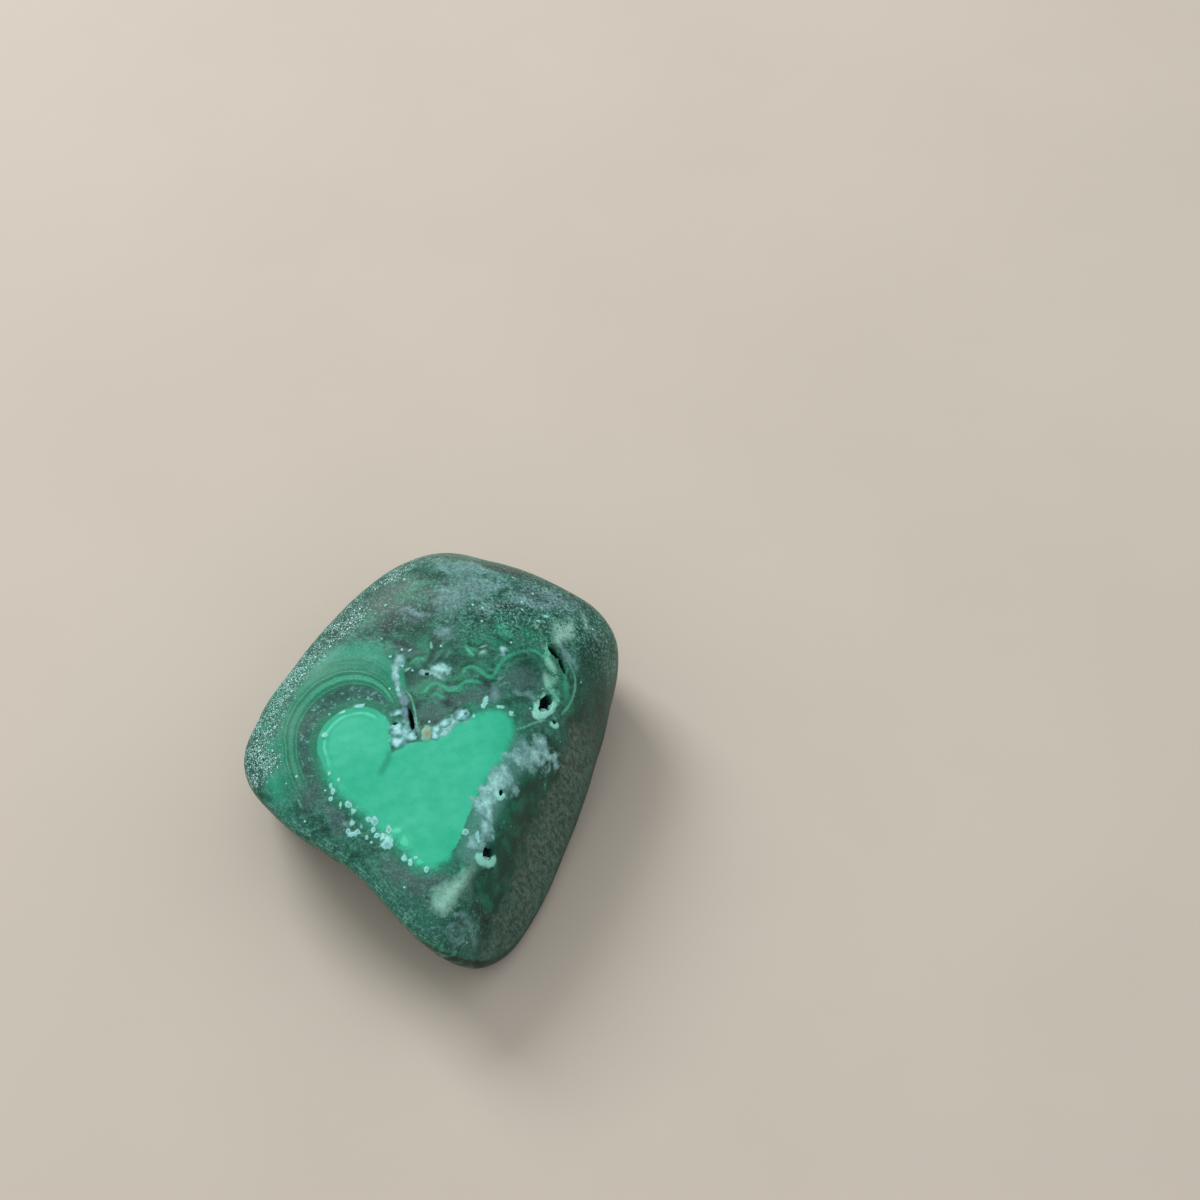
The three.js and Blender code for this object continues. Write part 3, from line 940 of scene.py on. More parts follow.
@dataclass(frozen=True)
class StoneSkin:
    """The stone's skin: a ball of triangles, laid on the worn block and refined where it shows."""

    block: WornBlock = WornBlock()
    ball_level: int = 6
    passes: int = 3
    side_spacing: float = 0.36
    upper_spacing: float = 0.2
    pit_spacing: float = 0.085
    pit_margin: float = 0.35
    lump_margin: float = 0.1
    natural_relief: float = 0.04
    natural_length: float = 5.0
    fine_relief: float = 0.004
    fine_length: float = 1.1

    def spacing(self, points: np.ndarray) -> np.ndarray:
        """Longest edge that the skin may have.

        Args:
            points: points of the skin, one row each.

        Returns:
            The longest edge at each point.
        """
        limit = np.full(len(points), self.side_spacing)
        limit[points[:, 2] > self.block.middle[2] + 1.0] = self.upper_spacing
        lumps = (*GROWTHS[Growth.DRUSE], *GROWTHS[Growth.STAINED])
        for forms, margin in ((PITS, self.pit_margin), (lumps, self.lump_margin)):
            for form in forms:
                apart = np.linalg.norm(points - self.block.seat(form.x, form.y), axis=1)
                limit[apart < max(form.length, form.width) / 2.0 + margin] = self.pit_spacing
        return limit

    def ball(self) -> bmesh.types.BMesh:
        """Ball of unit radius whose edges are short enough once it is laid on the block.

        Returns:
            The ball, with triangles only.
        """
        ball = bmesh.new()
        bmesh.ops.create_icosphere(ball, subdivisions=self.ball_level, radius=1.0)
        for _ in range(self.passes):
            points = self.block.skin(np.array([vertex.co for vertex in ball.verts]))
            ball.verts.index_update()
            ends = np.array([[vertex.index for vertex in edge.verts] for edge in ball.edges])
            starts, stops = points[ends[:, 0]], points[ends[:, 1]]
            too_long = np.linalg.norm(stops - starts, axis=1) > self.spacing((starts + stops) / 2.0)
            edges = [edge for edge, split in zip(ball.edges, too_long) if split]
            bmesh.ops.subdivide_edges(ball, edges=edges, cuts=1, use_grid_fill=True)
            wide = [face for face in ball.faces if len(face.verts) > 3]
            bmesh.ops.triangulate(ball, faces=wide)
            for vertex in ball.verts:
                vertex.co.normalize()
        return ball

    def build(self, finish: bpy.types.Material) -> bpy.types.Object:
        """Makes the skin with its pits, crust and relief, and the fields for its finish.

        Args:
            finish: the stone's material.

        Returns:
            The skin.
        """
        ball = self.ball()
        points = self.block.skin(np.array([vertex.co for vertex in ball.verts]))
        place_vertices(ball, points)
        ball.normal_update()
        normals = np.array([vertex.normal for vertex in ball.verts])
        marks = Markings(points, normals, self.block)
        marks.add_patch(LobedPatch())
        marks.add_lines("scallop", SCALLOPS, fade=0.6)
        marks.add_lines("vein", VEINS, fade=0.4)
        marks.add_lines("band", [BAND], fade=0.6)
        marks.add_lines("crease", [CREASE], fade=0.5)
        marks.add_lines("deep_band", [DEEP_BAND], fade=1.4)
        marks.add_lines("strip", [PALE_STRIP], fade=1.0)
        marks.add_bevel(BEVEL)
        marks.add_blotches(BLOTCHES)
        marks.add_wear()
        relief = marks.add_growths(GROWTHS)
        above_foot = smoothstep(points[:, 2], 0.1, 1.2)
        natural = self.natural_relief * swell(points, self.natural_length, seed=2)
        fine = self.fine_relief * swell(points, self.fine_length, seed=3)
        relief += above_foot * (natural + fine)
        moved = points + normals * relief[:, None] + marks.add_pits(PITS)
        place_vertices(ball, moved * MM)
        stone = piece_from(ball, "stone_skin", finish)
        for name, values in marks.fields.items():
            attribute = stone.data.attributes.new(name, "FLOAT", "POINT")
            attribute.data.foreach_set("value", values.astype(np.float32))
        return stone


def place_vertices(mesh: bmesh.types.BMesh, points: np.ndarray) -> None:
    """Moves a mesh's vertices to points, one row each."""
    for vertex, point in zip(mesh.verts, points):
        vertex.co = point


def piece_from(mesh: bmesh.types.BMesh, name: str, finish: bpy.types.Material) -> bpy.types.Object:
    """Turns a mesh into a smooth piece that rides on the stone's body.

    Args:
        mesh: the mesh, in metres, in place.
        name: the piece's name.
        finish: its material.

    Returns:
        The new object, at the origin, unturned and unscaled.
    """
    for face in mesh.faces:
        face.smooth = True
    data = bpy.data.meshes.new(name)
    mesh.to_mesh(data)
    mesh.free()
    data.materials.append(finish)
    piece = bpy.data.objects.new(name, data)
    bpy.context.collection.objects.link(piece)
    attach(piece, BODY)
    return piece


# Druse

@dataclass(frozen=True)
class Druse:
    """A milky lump grown on the stone and worn down with it: its place, size and height."""

    x: float
    y: float
    length: float
    width: float
    height: float
    turn: float = 0.0
    lift: float = 0.0


@dataclass(frozen=True)
class VugDruse:
    """The milky lumps in two vugs, each a low dome with an uneven, slightly lumpy skin."""

    block: WornBlock = WornBlock()
    lumps: tuple[Druse, ...] = (
        Druse(9.7, 0.75, 0.7, 0.9, 0.3, turn=30, lift=-0.22),
        Druse(9.15, 0.35, 0.8, 0.5, 0.3, lift=-0.4),
        Druse(4.8, -12.45, 0.7, 0.35, 0.25, lift=-0.3),
    )
    dome_level: int = 4
    lumpiness: float = 0.11
    bump_length: float = 1.1
    first_seed: int = 40

    def build(self, finish: bpy.types.Material) -> bpy.types.Object:
        """Makes the lumps as one piece.

        Args:
            finish: the druse's material.

        Returns:
            The piece.
        """
        mesh = bmesh.new()
        for seed, lump in enumerate(self.lumps, self.first_seed):
            self._add_lump(mesh, lump, seed)
        return piece_from(mesh, "vug_druse", finish)

    def _add_lump(self, mesh: bmesh.types.BMesh, lump: Druse, seed: int) -> None:
        """Adds one lump.

        Args:
            mesh: the mesh that it is added to.
            lump: its place and size.
            seed: which relief it has.
        """
        axes = self.block.axes(lump.x, lump.y, lump.turn)
        seat = self.block.seat(lump.x, lump.y) + np.array(axes.col[2]) * lump.lift
        made = bmesh.ops.create_icosphere(mesh, subdivisions=self.dome_level, radius=1.0)
        ways = np.array([vertex.co for vertex in made["verts"]])
        bumps = swell(ways, self.bump_length, seed) * self.lumpiness
        half = np.array([lump.length / 2.0, lump.width / 2.0, lump.height])
        points = ways * (1.0 + bumps)[:, None] * half
        for vertex, point in zip(made["verts"], seat + points @ np.array(axes).T):
            vertex.co = Vector(point * MM)


# Finishes

def light_of(tone: Tone) -> Light:
    """Linear colour of a tone.

    Args:
        tone: the tone as it shows on a screen, 0 to 255.

    Returns:
        Its red, green, blue and alpha.
    """
    shares = [channel / 255.0 for channel in tone]
    linear = [share / 12.92 if share <= 0.04045 else ((share + 0.055) / 1.055) ** 2.4 for share in shares]
    return (*linear, 1.0)


class Wire:
    """A shader socket that takes part in arithmetic with numbers and other wires."""

    def __init__(self, bench: Bench, socket: bpy.types.NodeSocket) -> None:
        """Keeps the bench that it is on and its output socket."""
        self.bench = bench
        self.socket = socket

    def __add__(self, other: Wire | float) -> Wire:
        """Sum."""
        return self.bench.maths("ADD", self, other)

    def __radd__(self, other: float) -> Wire:
        """Sum, with the number first."""
        return self.bench.maths("ADD", other, self)

    def __sub__(self, other: Wire | float) -> Wire:
        """Difference."""
        return self.bench.maths("SUBTRACT", self, other)

    def __rsub__(self, other: float) -> Wire:
        """Difference, with the number first."""
        return self.bench.maths("SUBTRACT", other, self)

    def __mul__(self, other: Wire | float) -> Wire:
        """Product."""
        return self.bench.maths("MULTIPLY", self, other)

    def __rmul__(self, other: float) -> Wire:
        """Product, with the number first."""
        return self.bench.maths("MULTIPLY", other, self)

    def __truediv__(self, other: Wire | float) -> Wire:
        """Quotient."""
        return self.bench.maths("DIVIDE", self, other)

    def __gt__(self, other: Wire | float) -> Wire:
        """1 where it is larger, and 0 elsewhere."""
        return self.bench.maths("GREATER_THAN", self, other)

    def __abs__(self) -> Wire:
        """Size without its sign."""
        return self.bench.maths("ABSOLUTE", self)


Feed = Wire | float | tuple


class Bench:
    """One material's node tree, with a method for each kind of step."""

    def __init__(self, name: str) -> None:
        """Starts an empty material with a shader and its output.

        Args:
            name: the material's name.
        """
        self.material = bpy.data.materials.new(name)
        self.material.use_nodes = True
        self.nodes = self.material.node_tree.nodes
        self.links = self.material.node_tree.links
        self.nodes.clear()
        self.shader = self.nodes.new("ShaderNodeBsdfPrincipled")
        output = self.nodes.new("ShaderNodeOutputMaterial")
        self.links.new(self.shader.outputs[0], output.inputs["Surface"])

    def dress(self, inputs: dict[str, Feed]) -> bpy.types.Material:
        """Feeds the shader.

        Args:
            inputs: a wire or a value for each of its inputs.

        Returns:
            The finished material.
        """
        for name, value in inputs.items():
            self.feed(self.shader.inputs[name], value)
        return self.material

    def node(
        self,
        kind: str,
        settings: dict[str, object] | None = None,
        sockets: dict[int | str, Feed] | None = None,
        output: int | str = 0,
    ) -> Wire:
        """Adds a node.

        Args:
            kind: the node's type.
            settings: its properties, set first; "stops" are a colour ramp's places and tones.
            sockets: values or wires for its inputs.
            output: which output is wanted.

        Returns:
            The wire of that output.
        """
        node = self.nodes.new(kind)
        for name, value in (settings or {}).items():
            if name == "stops":
                self._set_stops(node.color_ramp, value)
            else:
                setattr(node, name, value)
        for key, value in (sockets or {}).items():
            self.feed(node.inputs[key], value)
        return Wire(self, node.outputs[output])

    @staticmethod
    def _set_stops(ramp: bpy.types.ColorRamp, stops: Stops) -> None:
        """Gives a colour ramp its stops.

        Args:
            ramp: the ramp, as a new node has it.
            stops: the place and tone of each stop, in order.
        """
        while len(ramp.elements) < len(stops):
            ramp.elements.new(1.0)
        for element, (place, tone) in zip(ramp.elements, stops):
            element.position = place
            element.color = light_of(tone)

    def feed(self, socket: bpy.types.NodeSocket, value: Feed) -> None:
        """Gives an input what it reads.

        Args:
            socket: the input.
            value: a wire, which is linked to it, or its value.
        """
        if isinstance(value, Wire):
            self.links.new(value.socket, socket)
        else:
            socket.default_value = value

    def maths(self, operation: str, *terms: Wire | float) -> Wire:
        """One step of arithmetic."""
        return self.node("ShaderNodeMath", {"operation": operation}, dict(enumerate(terms)))

    def fraction(self, value: Wire) -> Wire:
        """What a value has past a whole number, from 0 to 1."""
        return self.maths("FRACT", value)

    def stripe(self, value: Wire) -> Wire:
        """0 in the middle of a stripe and 0.5 between two, with one stripe for each whole number."""
        return abs(self.fraction(value) - 0.5)

    def step(self, value: Wire, low: float, high: float) -> Wire:
        """Soft step from 0 at low to 1 at high; low may be the larger."""
        sockets = {"Value": value, "From Min": low, "From Max": high}
        return self.node("ShaderNodeMapRange", {"interpolation_type": "SMOOTHSTEP"}, sockets)

    def scaled(self, vector: Wire, factor: Wire | float) -> Wire:
        """A vector or a colour times a number."""
        return self.node("ShaderNodeVectorMath", {"operation": "SCALE"}, {0: vector, "Scale": factor})

    def distance(self, place: Wire, centre: Spot) -> Wire:
        """Distance of a place from a centre."""
        return self.node("ShaderNodeVectorMath", {"operation": "DISTANCE"}, {0: place, 1: centre}, "Value")

    def along(self, place: Wire, axis: str) -> Wire:
        """One coordinate of a place: X, Y or Z."""
        return self.node("ShaderNodeSeparateXYZ", sockets={0: place}, output=axis)

    def stretched(self, place: Wire, turn: float, scale: Spot) -> Wire:
        """Place turned about Z, in degrees, and then scaled, for a grain that runs one way."""
        sockets = {"Vector": place, "Rotation": (0.0, 0.0, math.radians(turn)), "Scale": scale}
        return self.node("ShaderNodeMapping", {"vector_type": "POINT"}, sockets)

    def place(self) -> Wire:
        """Place on the object, in millimetres."""
        return self.scaled(self.node("ShaderNodeTexCoord", output="Object"), 1.0 / MM)

    def field(self, name: str) -> Wire:
        """One of the piece's own fields."""
        return self.node("ShaderNodeAttribute", {"attribute_name": name}, output="Fac")

    def noise(self, place: Wire, size: float, detail: float = 3.0, roughness: float = 0.55) -> Wire:
        """Noise from 0 to 1 whose largest lumps are about size across."""
        sockets = {"Vector": place, "Scale": 1.0 / size, "Detail": detail, "Roughness": roughness}
        return self.node("ShaderNodeTexNoise", sockets=sockets)

    def dots(self, place: Wire, size: float, share: Wire | float, radius: float) -> Wire:
        """Scattered round dots.

        Args:
            place: the place that they are laid out on.
            size: their spacing.
            share: the share of them that shows.
            radius: their radius, as a share of their spacing.

        Returns:
            1 on a dot and 0 elsewhere, with soft edges.
        """
        sockets = {"Vector": place, "Scale": 1.0 / size}
        apart = self.node("ShaderNodeTexVoronoi", sockets=sockets, output="Distance")
        cell = Wire(self, apart.socket.node.outputs["Color"])
        draw = self.node("ShaderNodeSeparateColor", sockets={0: cell})
        return self.step(apart, radius, radius * 0.55) * (draw > 1.0 - share)

    def blend(self, share: Wire, under: Wire | Tone, over: Wire | Tone) -> Wire:
        """Lays one colour over another by a share."""
        under, over = (colour if isinstance(colour, Wire) else light_of(colour) for colour in (under, over))
        return self.node("ShaderNodeMix", {"data_type": "RGBA"}, {0: share, 6: under, 7: over}, output=2)

    def tinted(self, colour: Wire, tint: Light) -> Wire:
        """A colour times a tint."""
        settings = {"data_type": "RGBA", "blend_type": "MULTIPLY"}
        return self.node("ShaderNodeMix", settings, {0: 1.0, 6: colour, 7: tint}, output=2)

    def ramp(self, value: Wire, stops: Stops) -> Wire:
        """Colour ramp."""
        return self.node("ShaderNodeValToRGB", {"stops": stops}, {0: value})

    def bump(self, height: Wire, strength: float) -> Wire:
        """Normal of a height in millimetres."""
        return self.node("ShaderNodeBump", sockets={"Height": height, "Strength": strength, "Distance": MM})


@dataclass(frozen=True)
class MarkLook:
    """How a kind of blotch looks: its tone and strength, its soft reach, and how ragged its edge is."""

    mark: Mark
    tone: Tone
    strength: float
    soft: float
    ragged: float = 1.4


@dataclass(frozen=True)
class GrowthLook:
    """How a kind of lump looks: how ragged its foot is, and its tones from there to its top, with painted
    shade at the foot and painted highlights higher up on crust and druse.
    """

    growth: Growth
    ragged: float
    stops: Stops


@dataclass(frozen=True)
class MalachiteLook:
    """The stone's tones, as they show on a screen, and the measures of its lines."""

    body_dark: Tone = (24, 78, 62)
    body_mid: Tone = (52, 118, 98)
    body_light: Tone = (92, 154, 136)
    soot: Tone = (14, 36, 32)
    fleck: Tone = (146, 188, 178)
    # White of the frosted specks and of the painted glints.
    frost: Tone = (204, 236, 228)
    # Sides: painted shade with a brownish painted reflection of the table.
    side_dark: Tone = (20, 42, 35)
    side_light: Tone = (50, 72, 62)
    strata_light: Tone = (146, 182, 172)
    strata_green: Tone = (40, 132, 90)
    # Right bevel: painted shade with a brownish grey painted reflection of the table, and painted shade
    # along its edge.
    bevel_dark: Tone = (22, 40, 33)
    bevel_light: Tone = (106, 124, 110)
    bevel_far: Tone = (14, 44, 36)
    bevel_shade: Tone = (14, 42, 32)
    patch: Tone = (52, 186, 146)
    patch_light: Tone = (66, 194, 156)
    patch_rim: Tone = (96, 224, 186)
    patch_edge: Tone = (34, 140, 106)
    chalk: Tone = (156, 212, 206)
    line: Tone = (58, 176, 134)
    pale_line: Tone = (136, 220, 184)
    strip: Tone = (98, 148, 138)
    deep: Tone = (16, 70, 56)
    deep_light: Tone = (22, 106, 80)
    vug_rim: Tone = (172, 240, 220)
    cast: Light = (0.8, 1.0, 1.01, 1.0)
    roughness: float = 0.38
    shine: float = 0.2
    strata_spacing: float = 0.17
    strata_green_spacing: float = 1.5
    ring_span: float = 2.6
    ring_stops: Stops = (
        (0.0, (34, 122, 92)),
        (0.08, (42, 100, 84)),
        (0.16, (48, 96, 86)),
        (0.28, (44, 96, 82)),
        (0.30, (26, 110, 82)),
        (0.315, (54, 150, 118)),
        (0.33, (26, 112, 84)),
        (0.355, (30, 124, 94)),
        (0.372, (56, 160, 124)),
        (0.387, (74, 178, 140)),
        (0.40, (46, 152, 116)),
        (0.413, (70, 172, 136)),
        (0.43, (26, 122, 92)),
        (0.465, (22, 112, 84)),
        (0.475, (64, 170, 134)),
        (0.49, (24, 122, 92)),
        (0.55, (34, 142, 110)),
        (0.60, (26, 128, 98)),
        (0.72, (40, 152, 120)),
        (0.86, (36, 142, 114)),
        (0.94, (32, 120, 96)),
        (1.0, (30, 106, 86)),
    )
    side_rings: tuple[tuple[Spot, float], ...] = (
        ((-9.0, 9.0, 3.0), 1.5),
        ((6.0, 17.0, 5.0), 1.2),
        ((2.0, -4.0, -3.0), 1.7),
    )
    side_stops: Stops = (
        (0.0, (38, 104, 82)),
        (0.18, (66, 150, 120)),
        (0.3, (34, 98, 76)),
        (0.45, (54, 130, 104)),
        (0.55, (90, 172, 140)),
        (0.63, (40, 110, 86)),
        (0.85, (30, 90, 70)),
        (1.0, (38, 104, 82)),
    )
    chalk_stops: Stops = (
        (0.0, (90, 130, 126)),
        (0.3, (120, 160, 158)),
        (0.6, (146, 188, 186)),
        (1.0, (192, 238, 232)),
    )
    marks: tuple[MarkLook, ...] = (
        MarkLook(Mark.DUST, (140, 166, 166), 0.62, 0.9),
        MarkLook(Mark.BROWN, (62, 78, 68), 0.9, 0.4),
        MarkLook(Mark.DEEP, (14, 72, 56), 0.85, 0.7),
        MarkLook(Mark.LEAF, (34, 140, 104), 0.65, 0.9),
        MarkLook(Mark.PLUM, (78, 100, 98), 0.75, 0.7),
        MarkLook(Mark.TEAL, (46, 104, 88), 0.85, 0.6, ragged=0.5),
        MarkLook(Mark.INK, (20, 40, 38), 0.75, 0.7),
        MarkLook(Mark.MINT, (70, 172, 138), 0.65, 0.9),
        MarkLook(Mark.SLATE, (124, 150, 162), 0.85, 0.5, ragged=0.5),
        MarkLook(Mark.LILAC, (136, 166, 170), 0.65, 0.9),
        MarkLook(Mark.STRAW, (178, 220, 200), 0.88, 1.1, ragged=0.5),
    )
    growths: tuple[GrowthLook, ...] = (
        GrowthLook(Growth.MINT, 1.2, ((0.0, (66, 186, 146)), (0.5, (84, 214, 170)))),
        # Crust and druse tones: dark at the foot as painted shade, pale higher up as painted highlights.
        GrowthLook(
            Growth.CRUST,
            2.0,
            (
                (0.0, (80, 150, 136)),
                (0.3, (146, 210, 200)),
                (0.55, (176, 232, 226)),
                (0.95, (142, 188, 186)),
            ),
        ),
        GrowthLook(
            Growth.STAINED, 0.6, ((0.0, (112, 172, 150)), (0.35, (142, 178, 150)), (0.75, (160, 150, 114)))
        ),
        GrowthLook(
            Growth.DRUSE,
            0.6,
            ((0.0, (48, 96, 88)), (0.18, (84, 142, 136)), (0.42, (130, 184, 184)), (0.9, (196, 236, 236))),
        ),
    )


class MalachiteFinish:
    """Worn tumble polish on malachite, laid layer by layer, from the body to what has grown on it."""

    def __init__(self, look: MalachiteLook) -> None:
        """Starts the material, with the noises that its layers share and the body's dark green.

        Args:
            look: the stone's tones and measures.
        """
        self.look = look
        self.bench = Bench("polished_malachite")
        self.place = self.bench.place()
        self.ragged = self.bench.noise(self.place, 0.5, 4.0, 0.62) - 0.5
        self.medium = self.bench.noise(self.place, 1.4, 4.0, 0.6)
        self.grain = self.bench.noise(self.place, 0.16, 2.0, 0.85)
        clouds = self.bench.step(self.medium, 0.36, 0.6)
        self.colour = self.bench.blend(clouds, look.body_dark, look.body_mid)

    def build(self) -> bpy.types.Material:
        """Lays the layers in order.

        Returns:
            The finished material.
        """
        self._body()
        self._sides()
        self._blotches()
        self._scallops()
        self._rings()
        self._bands()
        self._bevel()
        self._strata()
        self._mottle()
        self._patch()
        self._chalk()
        self._vugs()
        self._fine_grain()
        self._frost_and_glints()
        self._painted_glints()
        self._growths()
        return self._surface()

    def _lay(self, share: Wire, over: Wire | Tone) -> None:
        """Lays a tone or a colour over what is there, by a share."""
        self.colour = self.bench.blend(share, self.colour, over)

    def _body(self) -> None:
        """The body's fibres and fine mottling."""
        bench, look = self.bench, self.look
        fibres = bench.stretched(self.place, -38.0, (0.4, 1.7, 1.0))
        strands = bench.step(bench.noise(fibres, 0.8, 4.0, 0.65), 0.5, 0.68)
        self._lay(strands * 0.25, look.body_light)
        self._lay(bench.step(self.ragged, 0.03, 0.16) * 0.4, look.body_light)
        self._lay(bench.step(self.ragged, -0.03, -0.16) * 0.4, look.soot)

    def _sides(self) -> None:
        """Sides darkened as painted shade with a brownish painted reflection of the table, and malachite's
        bands where a side shows them.
        """
        bench, look = self.bench, self.look
        streaks = bench.stretched(self.place, 0.0, (1.6, 1.6, 0.35))
        grain = bench.noise(streaks, 1.3, 5.0, 0.6)
        side = bench.blend(bench.step(grain, 0.35, 0.68), look.side_dark, look.side_light)
        for centre, size in look.side_rings:
            away = bench.distance(self.place, centre) + self.medium * 1.6
            bands = bench.ramp(bench.fraction(away / size), look.side_stops)
            side = bench.blend(bench.step(away, 11.0, 8.0) * bench.field("banded"), side, bands)
        self.colour = bench.blend(bench.field("upper"), side, self.colour)

    def _blotches(self) -> None:
        """The broad blotches, ragged at their edges."""
        for kind in self.look.marks:
            cover = self.bench.field(kind.mark.value) + self.ragged * kind.ragged
            self._lay(self.bench.step(cover, -0.1, kind.soft) * kind.strength, kind.tone)

    def _scallops(self) -> None:
        """The scalloped growth lines between the cleft and the right vugs, each with a faint echo."""
        bench = self.bench
        gap = bench.field("scallop") + self.ragged * 0.3
        share = bench.field("scallop_share") * (bench.step(self.medium, 0.3, 0.55) * 0.4 + 0.6)
        for offset, width, strength in ((0.0, 0.26, 0.8), (0.62, 0.16, 0.2)):
            self._lay(bench.step(abs(gap - offset), width, 0.0) * share * strength, self.look.line)

    def _rings(self) -> None:
        """The rings round the left lobe, finest at the bright ring."""
        bench, look = self.bench, self.look
        ring = bench.field("ring") + self.ragged * 0.06 + (self.medium - 0.5) * 0.06
        bands = bench.ramp(ring / look.ring_span, look.ring_stops)
        thin = (1.0 - bench.field("ring_bold")) * bench.step(abs(ring - 1.04), 0.12, 0.08)
        bands = bench.blend(thin * 0.5, bands, look.body_mid)
        fine = bench.step(bench.stripe(ring * 5.5 + self.ragged * 0.8), 0.3, 0.05)
        fine = fine * bench.step(ring, 1.2, 1.4) * bench.step(self.medium, 0.35, 0.6)
        bands = bench.blend(fine * 0.4, bands, look.body_light)
        grey = bench.step(abs(ring - 0.42), 0.36, 0.2)
        pale = bench.step(self.grain * 0.5 + self.ragged, 0.29, 0.44)
        bands = bench.blend(pale * grey * 0.5, bands, look.chalk)
        bands = bench.blend(bench.step(self.ragged, -0.02, -0.14) * grey * 0.4, bands, look.soot)
        beside = bench.step(bench.field("patch_gap") + self.ragged * 0.3, 0.8, 0.5)
        bands = bench.blend(beside * 0.9, bands, look.ring_stops[0][1])
        share = bench.field("ring_share") * bench.step(ring, look.ring_span, look.ring_span * 0.75)
        self._lay(share * 0.92, bands)

    def _bands(self) -> None:
        """The deep green band on the patch's right, and the pale strip beside it."""
        bench, look = self.bench, self.look
        gap = bench.field("deep_band") + self.ragged * 0.5
        tone = bench.blend(bench.step(self.medium, 0.4, 0.65), look.deep, look.deep_light)
        self._lay(bench.step(gap, 1.5, 0.5) * bench.field("deep_band_share") * 0.95, tone)
        gap = bench.field("strip") + self.ragged * 1.2 + (self.medium - 0.5) * 0.8
        self._lay(bench.step(gap, 1.3, 0.5) * bench.field("strip_share") * 0.8, look.strip)

    def _bevel(self) -> None:
        """Painted shade and a brownish grey painted reflection of the table on the right bevel, streaked
        down the slope and darker on its far part, with painted shade along its edge.
        """
        bench, look = self.bench, self.look
        gap = bench.field("bevel") + self.ragged * 0.5
        shade = bench.step(gap, -1.0, -0.1) * bench.step(gap, 0.8, 0.1)
        self._lay(shade * 0.5, look.bevel_shade)
        # The bevel's tone: painted shade and painted reflection of the table.
        slope = bench.stretched(self.place, -68.0, (0.5, 2.0, 1.0))
        streaks = bench.step(bench.noise(slope, 0.6, 4.0, 0.7), 0.36, 0.64)
        fine = bench.step(bench.noise(self.place, 0.19, 3.0, 0.85), 0.38, 0.62)
        skin = bench.blend(streaks * 0.6 + fine * 0.4, look.bevel_dark, look.bevel_light)
        far = bench.step(bench.along(self.place, "Y"), -1.0, 4.0)
        skin = bench.blend(far * 0.75, skin, look.bevel_far)
        self._lay(bench.step(gap, -0.2, 0.5) * bench.field("upper") * 0.94, skin)

    def _strata(self) -> None:
        """Green bands and fine, broken pale lines along the near left side."""
        bench, look = self.bench, self.look
        height = bench.along(self.place, "Z")
        strata = bench.field("strata")
        green = bench.stripe((height + self.medium * 0.8) / look.strata_green_spacing)
        self._lay(bench.step(green, 0.2, 0.08) * strata * 0.6, look.strata_green)
        line = bench.stripe((height + self.medium * 0.5) / look.strata_spacing)
        broken = bench.step(self.medium, 0.4, 0.6)
        broken = broken * bench.step(bench.noise(self.place, 0.5, 3.0, 0.7), 0.4, 0.6)
        self._lay(bench.step(line, 0.36, 0.05) * strata * broken * 0.7, look.strata_light)

    def _mottle(self) -> None:
        """Light and dark flecks all over, boldest on the far part, and small bright specks, partly dust and
        partly painted glints.
        """
        bench, look = self.bench, self.look
        rough = bench.field("rough") * (bench.step(self.medium, 0.35, 0.6) * 0.4 + 0.6)
        rough = rough * (1.0 - bench.step(bench.field("bevel"), -0.8, 0.4) * 0.85)
        smooth = bench.step(bench.field("deep_band"), 1.4, 0.6) * bench.field("deep_band_share")
        rough = rough * (1.0 - smooth * 0.7) * (1.0 - bench.field("frost") * 0.6)
        flecks = bench.noise(self.place, 0.24, 3.0, 0.8)
        self._lay(bench.step(flecks, 0.49, 0.38) * rough * 0.85, look.soot)
        self._lay(bench.step(flecks, 0.52, 0.63) * rough * 0.8, look.fleck)
        # Small bright specks: partly dust, partly painted glints.
        specks = bench.dots(self.place, 0.24, 0.12, 0.3) * bench.step(rough, 0.3, 0.9)
        self._lay(specks * 0.6, look.frost)

    def _patch(self) -> None:
        """The pale patch, with a fine rim round its left lobe and a crease between its lobes."""
        bench, look = self.bench, self.look
        lobe = bench.field("ring_share")
        fringe = bench.field("fringe")
        gap = bench.field("patch_gap") + self.ragged * (0.5 - lobe * 0.3 + fringe)
        tone = bench.blend(bench.step(self.medium, 0.35, 0.65), look.patch, look.patch_light)
        tone = bench.blend(bench.step(gap, -0.6, -0.45) * lobe * 0.35, tone, look.patch_edge)
        rim = bench.step(abs(gap + 0.55), 0.15, 0.02) * lobe * bench.step(self.medium, 0.36, 0.52)
        tone = bench.blend(rim * 0.75, tone, look.patch_rim)
        tone = bench.blend(bench.step(abs(gap + 0.85), 0.14, 0.0) * lobe * 0.3, tone, look.patch_edge)
        crease = bench.step(bench.field("crease") + self.ragged * 0.3, 0.5, 0.0)
        tone = bench.blend(crease * bench.field("crease_share") * 0.6, tone, look.patch_edge)
        around = bench.step(abs(gap), 1.2, 0.1) * (1.0 - lobe)
        self._lay(around * (fringe * 0.35 + 0.35), look.patch_edge)
        soft = bench.field("patch_soft") + fringe * 0.6
        self._lay(bench.step(gap / soft, 0.8, -0.8), tone)

    def _chalk(self) -> None:
        """Chalky marks, in clumps."""
        bench = self.bench
        chalk = bench.field(Mark.CHALK.value)
        clumps = self.ragged * 1.3 + (bench.noise(self.place, 0.7, 2.0) - 0.5) * 1.4
        tone = bench.ramp(chalk * 0.6 + clumps + 0.28, self.look.chalk_stops)
        self._lay(bench.step(chalk + clumps * 0.8, -0.1, 0.4) * 0.92, tone)

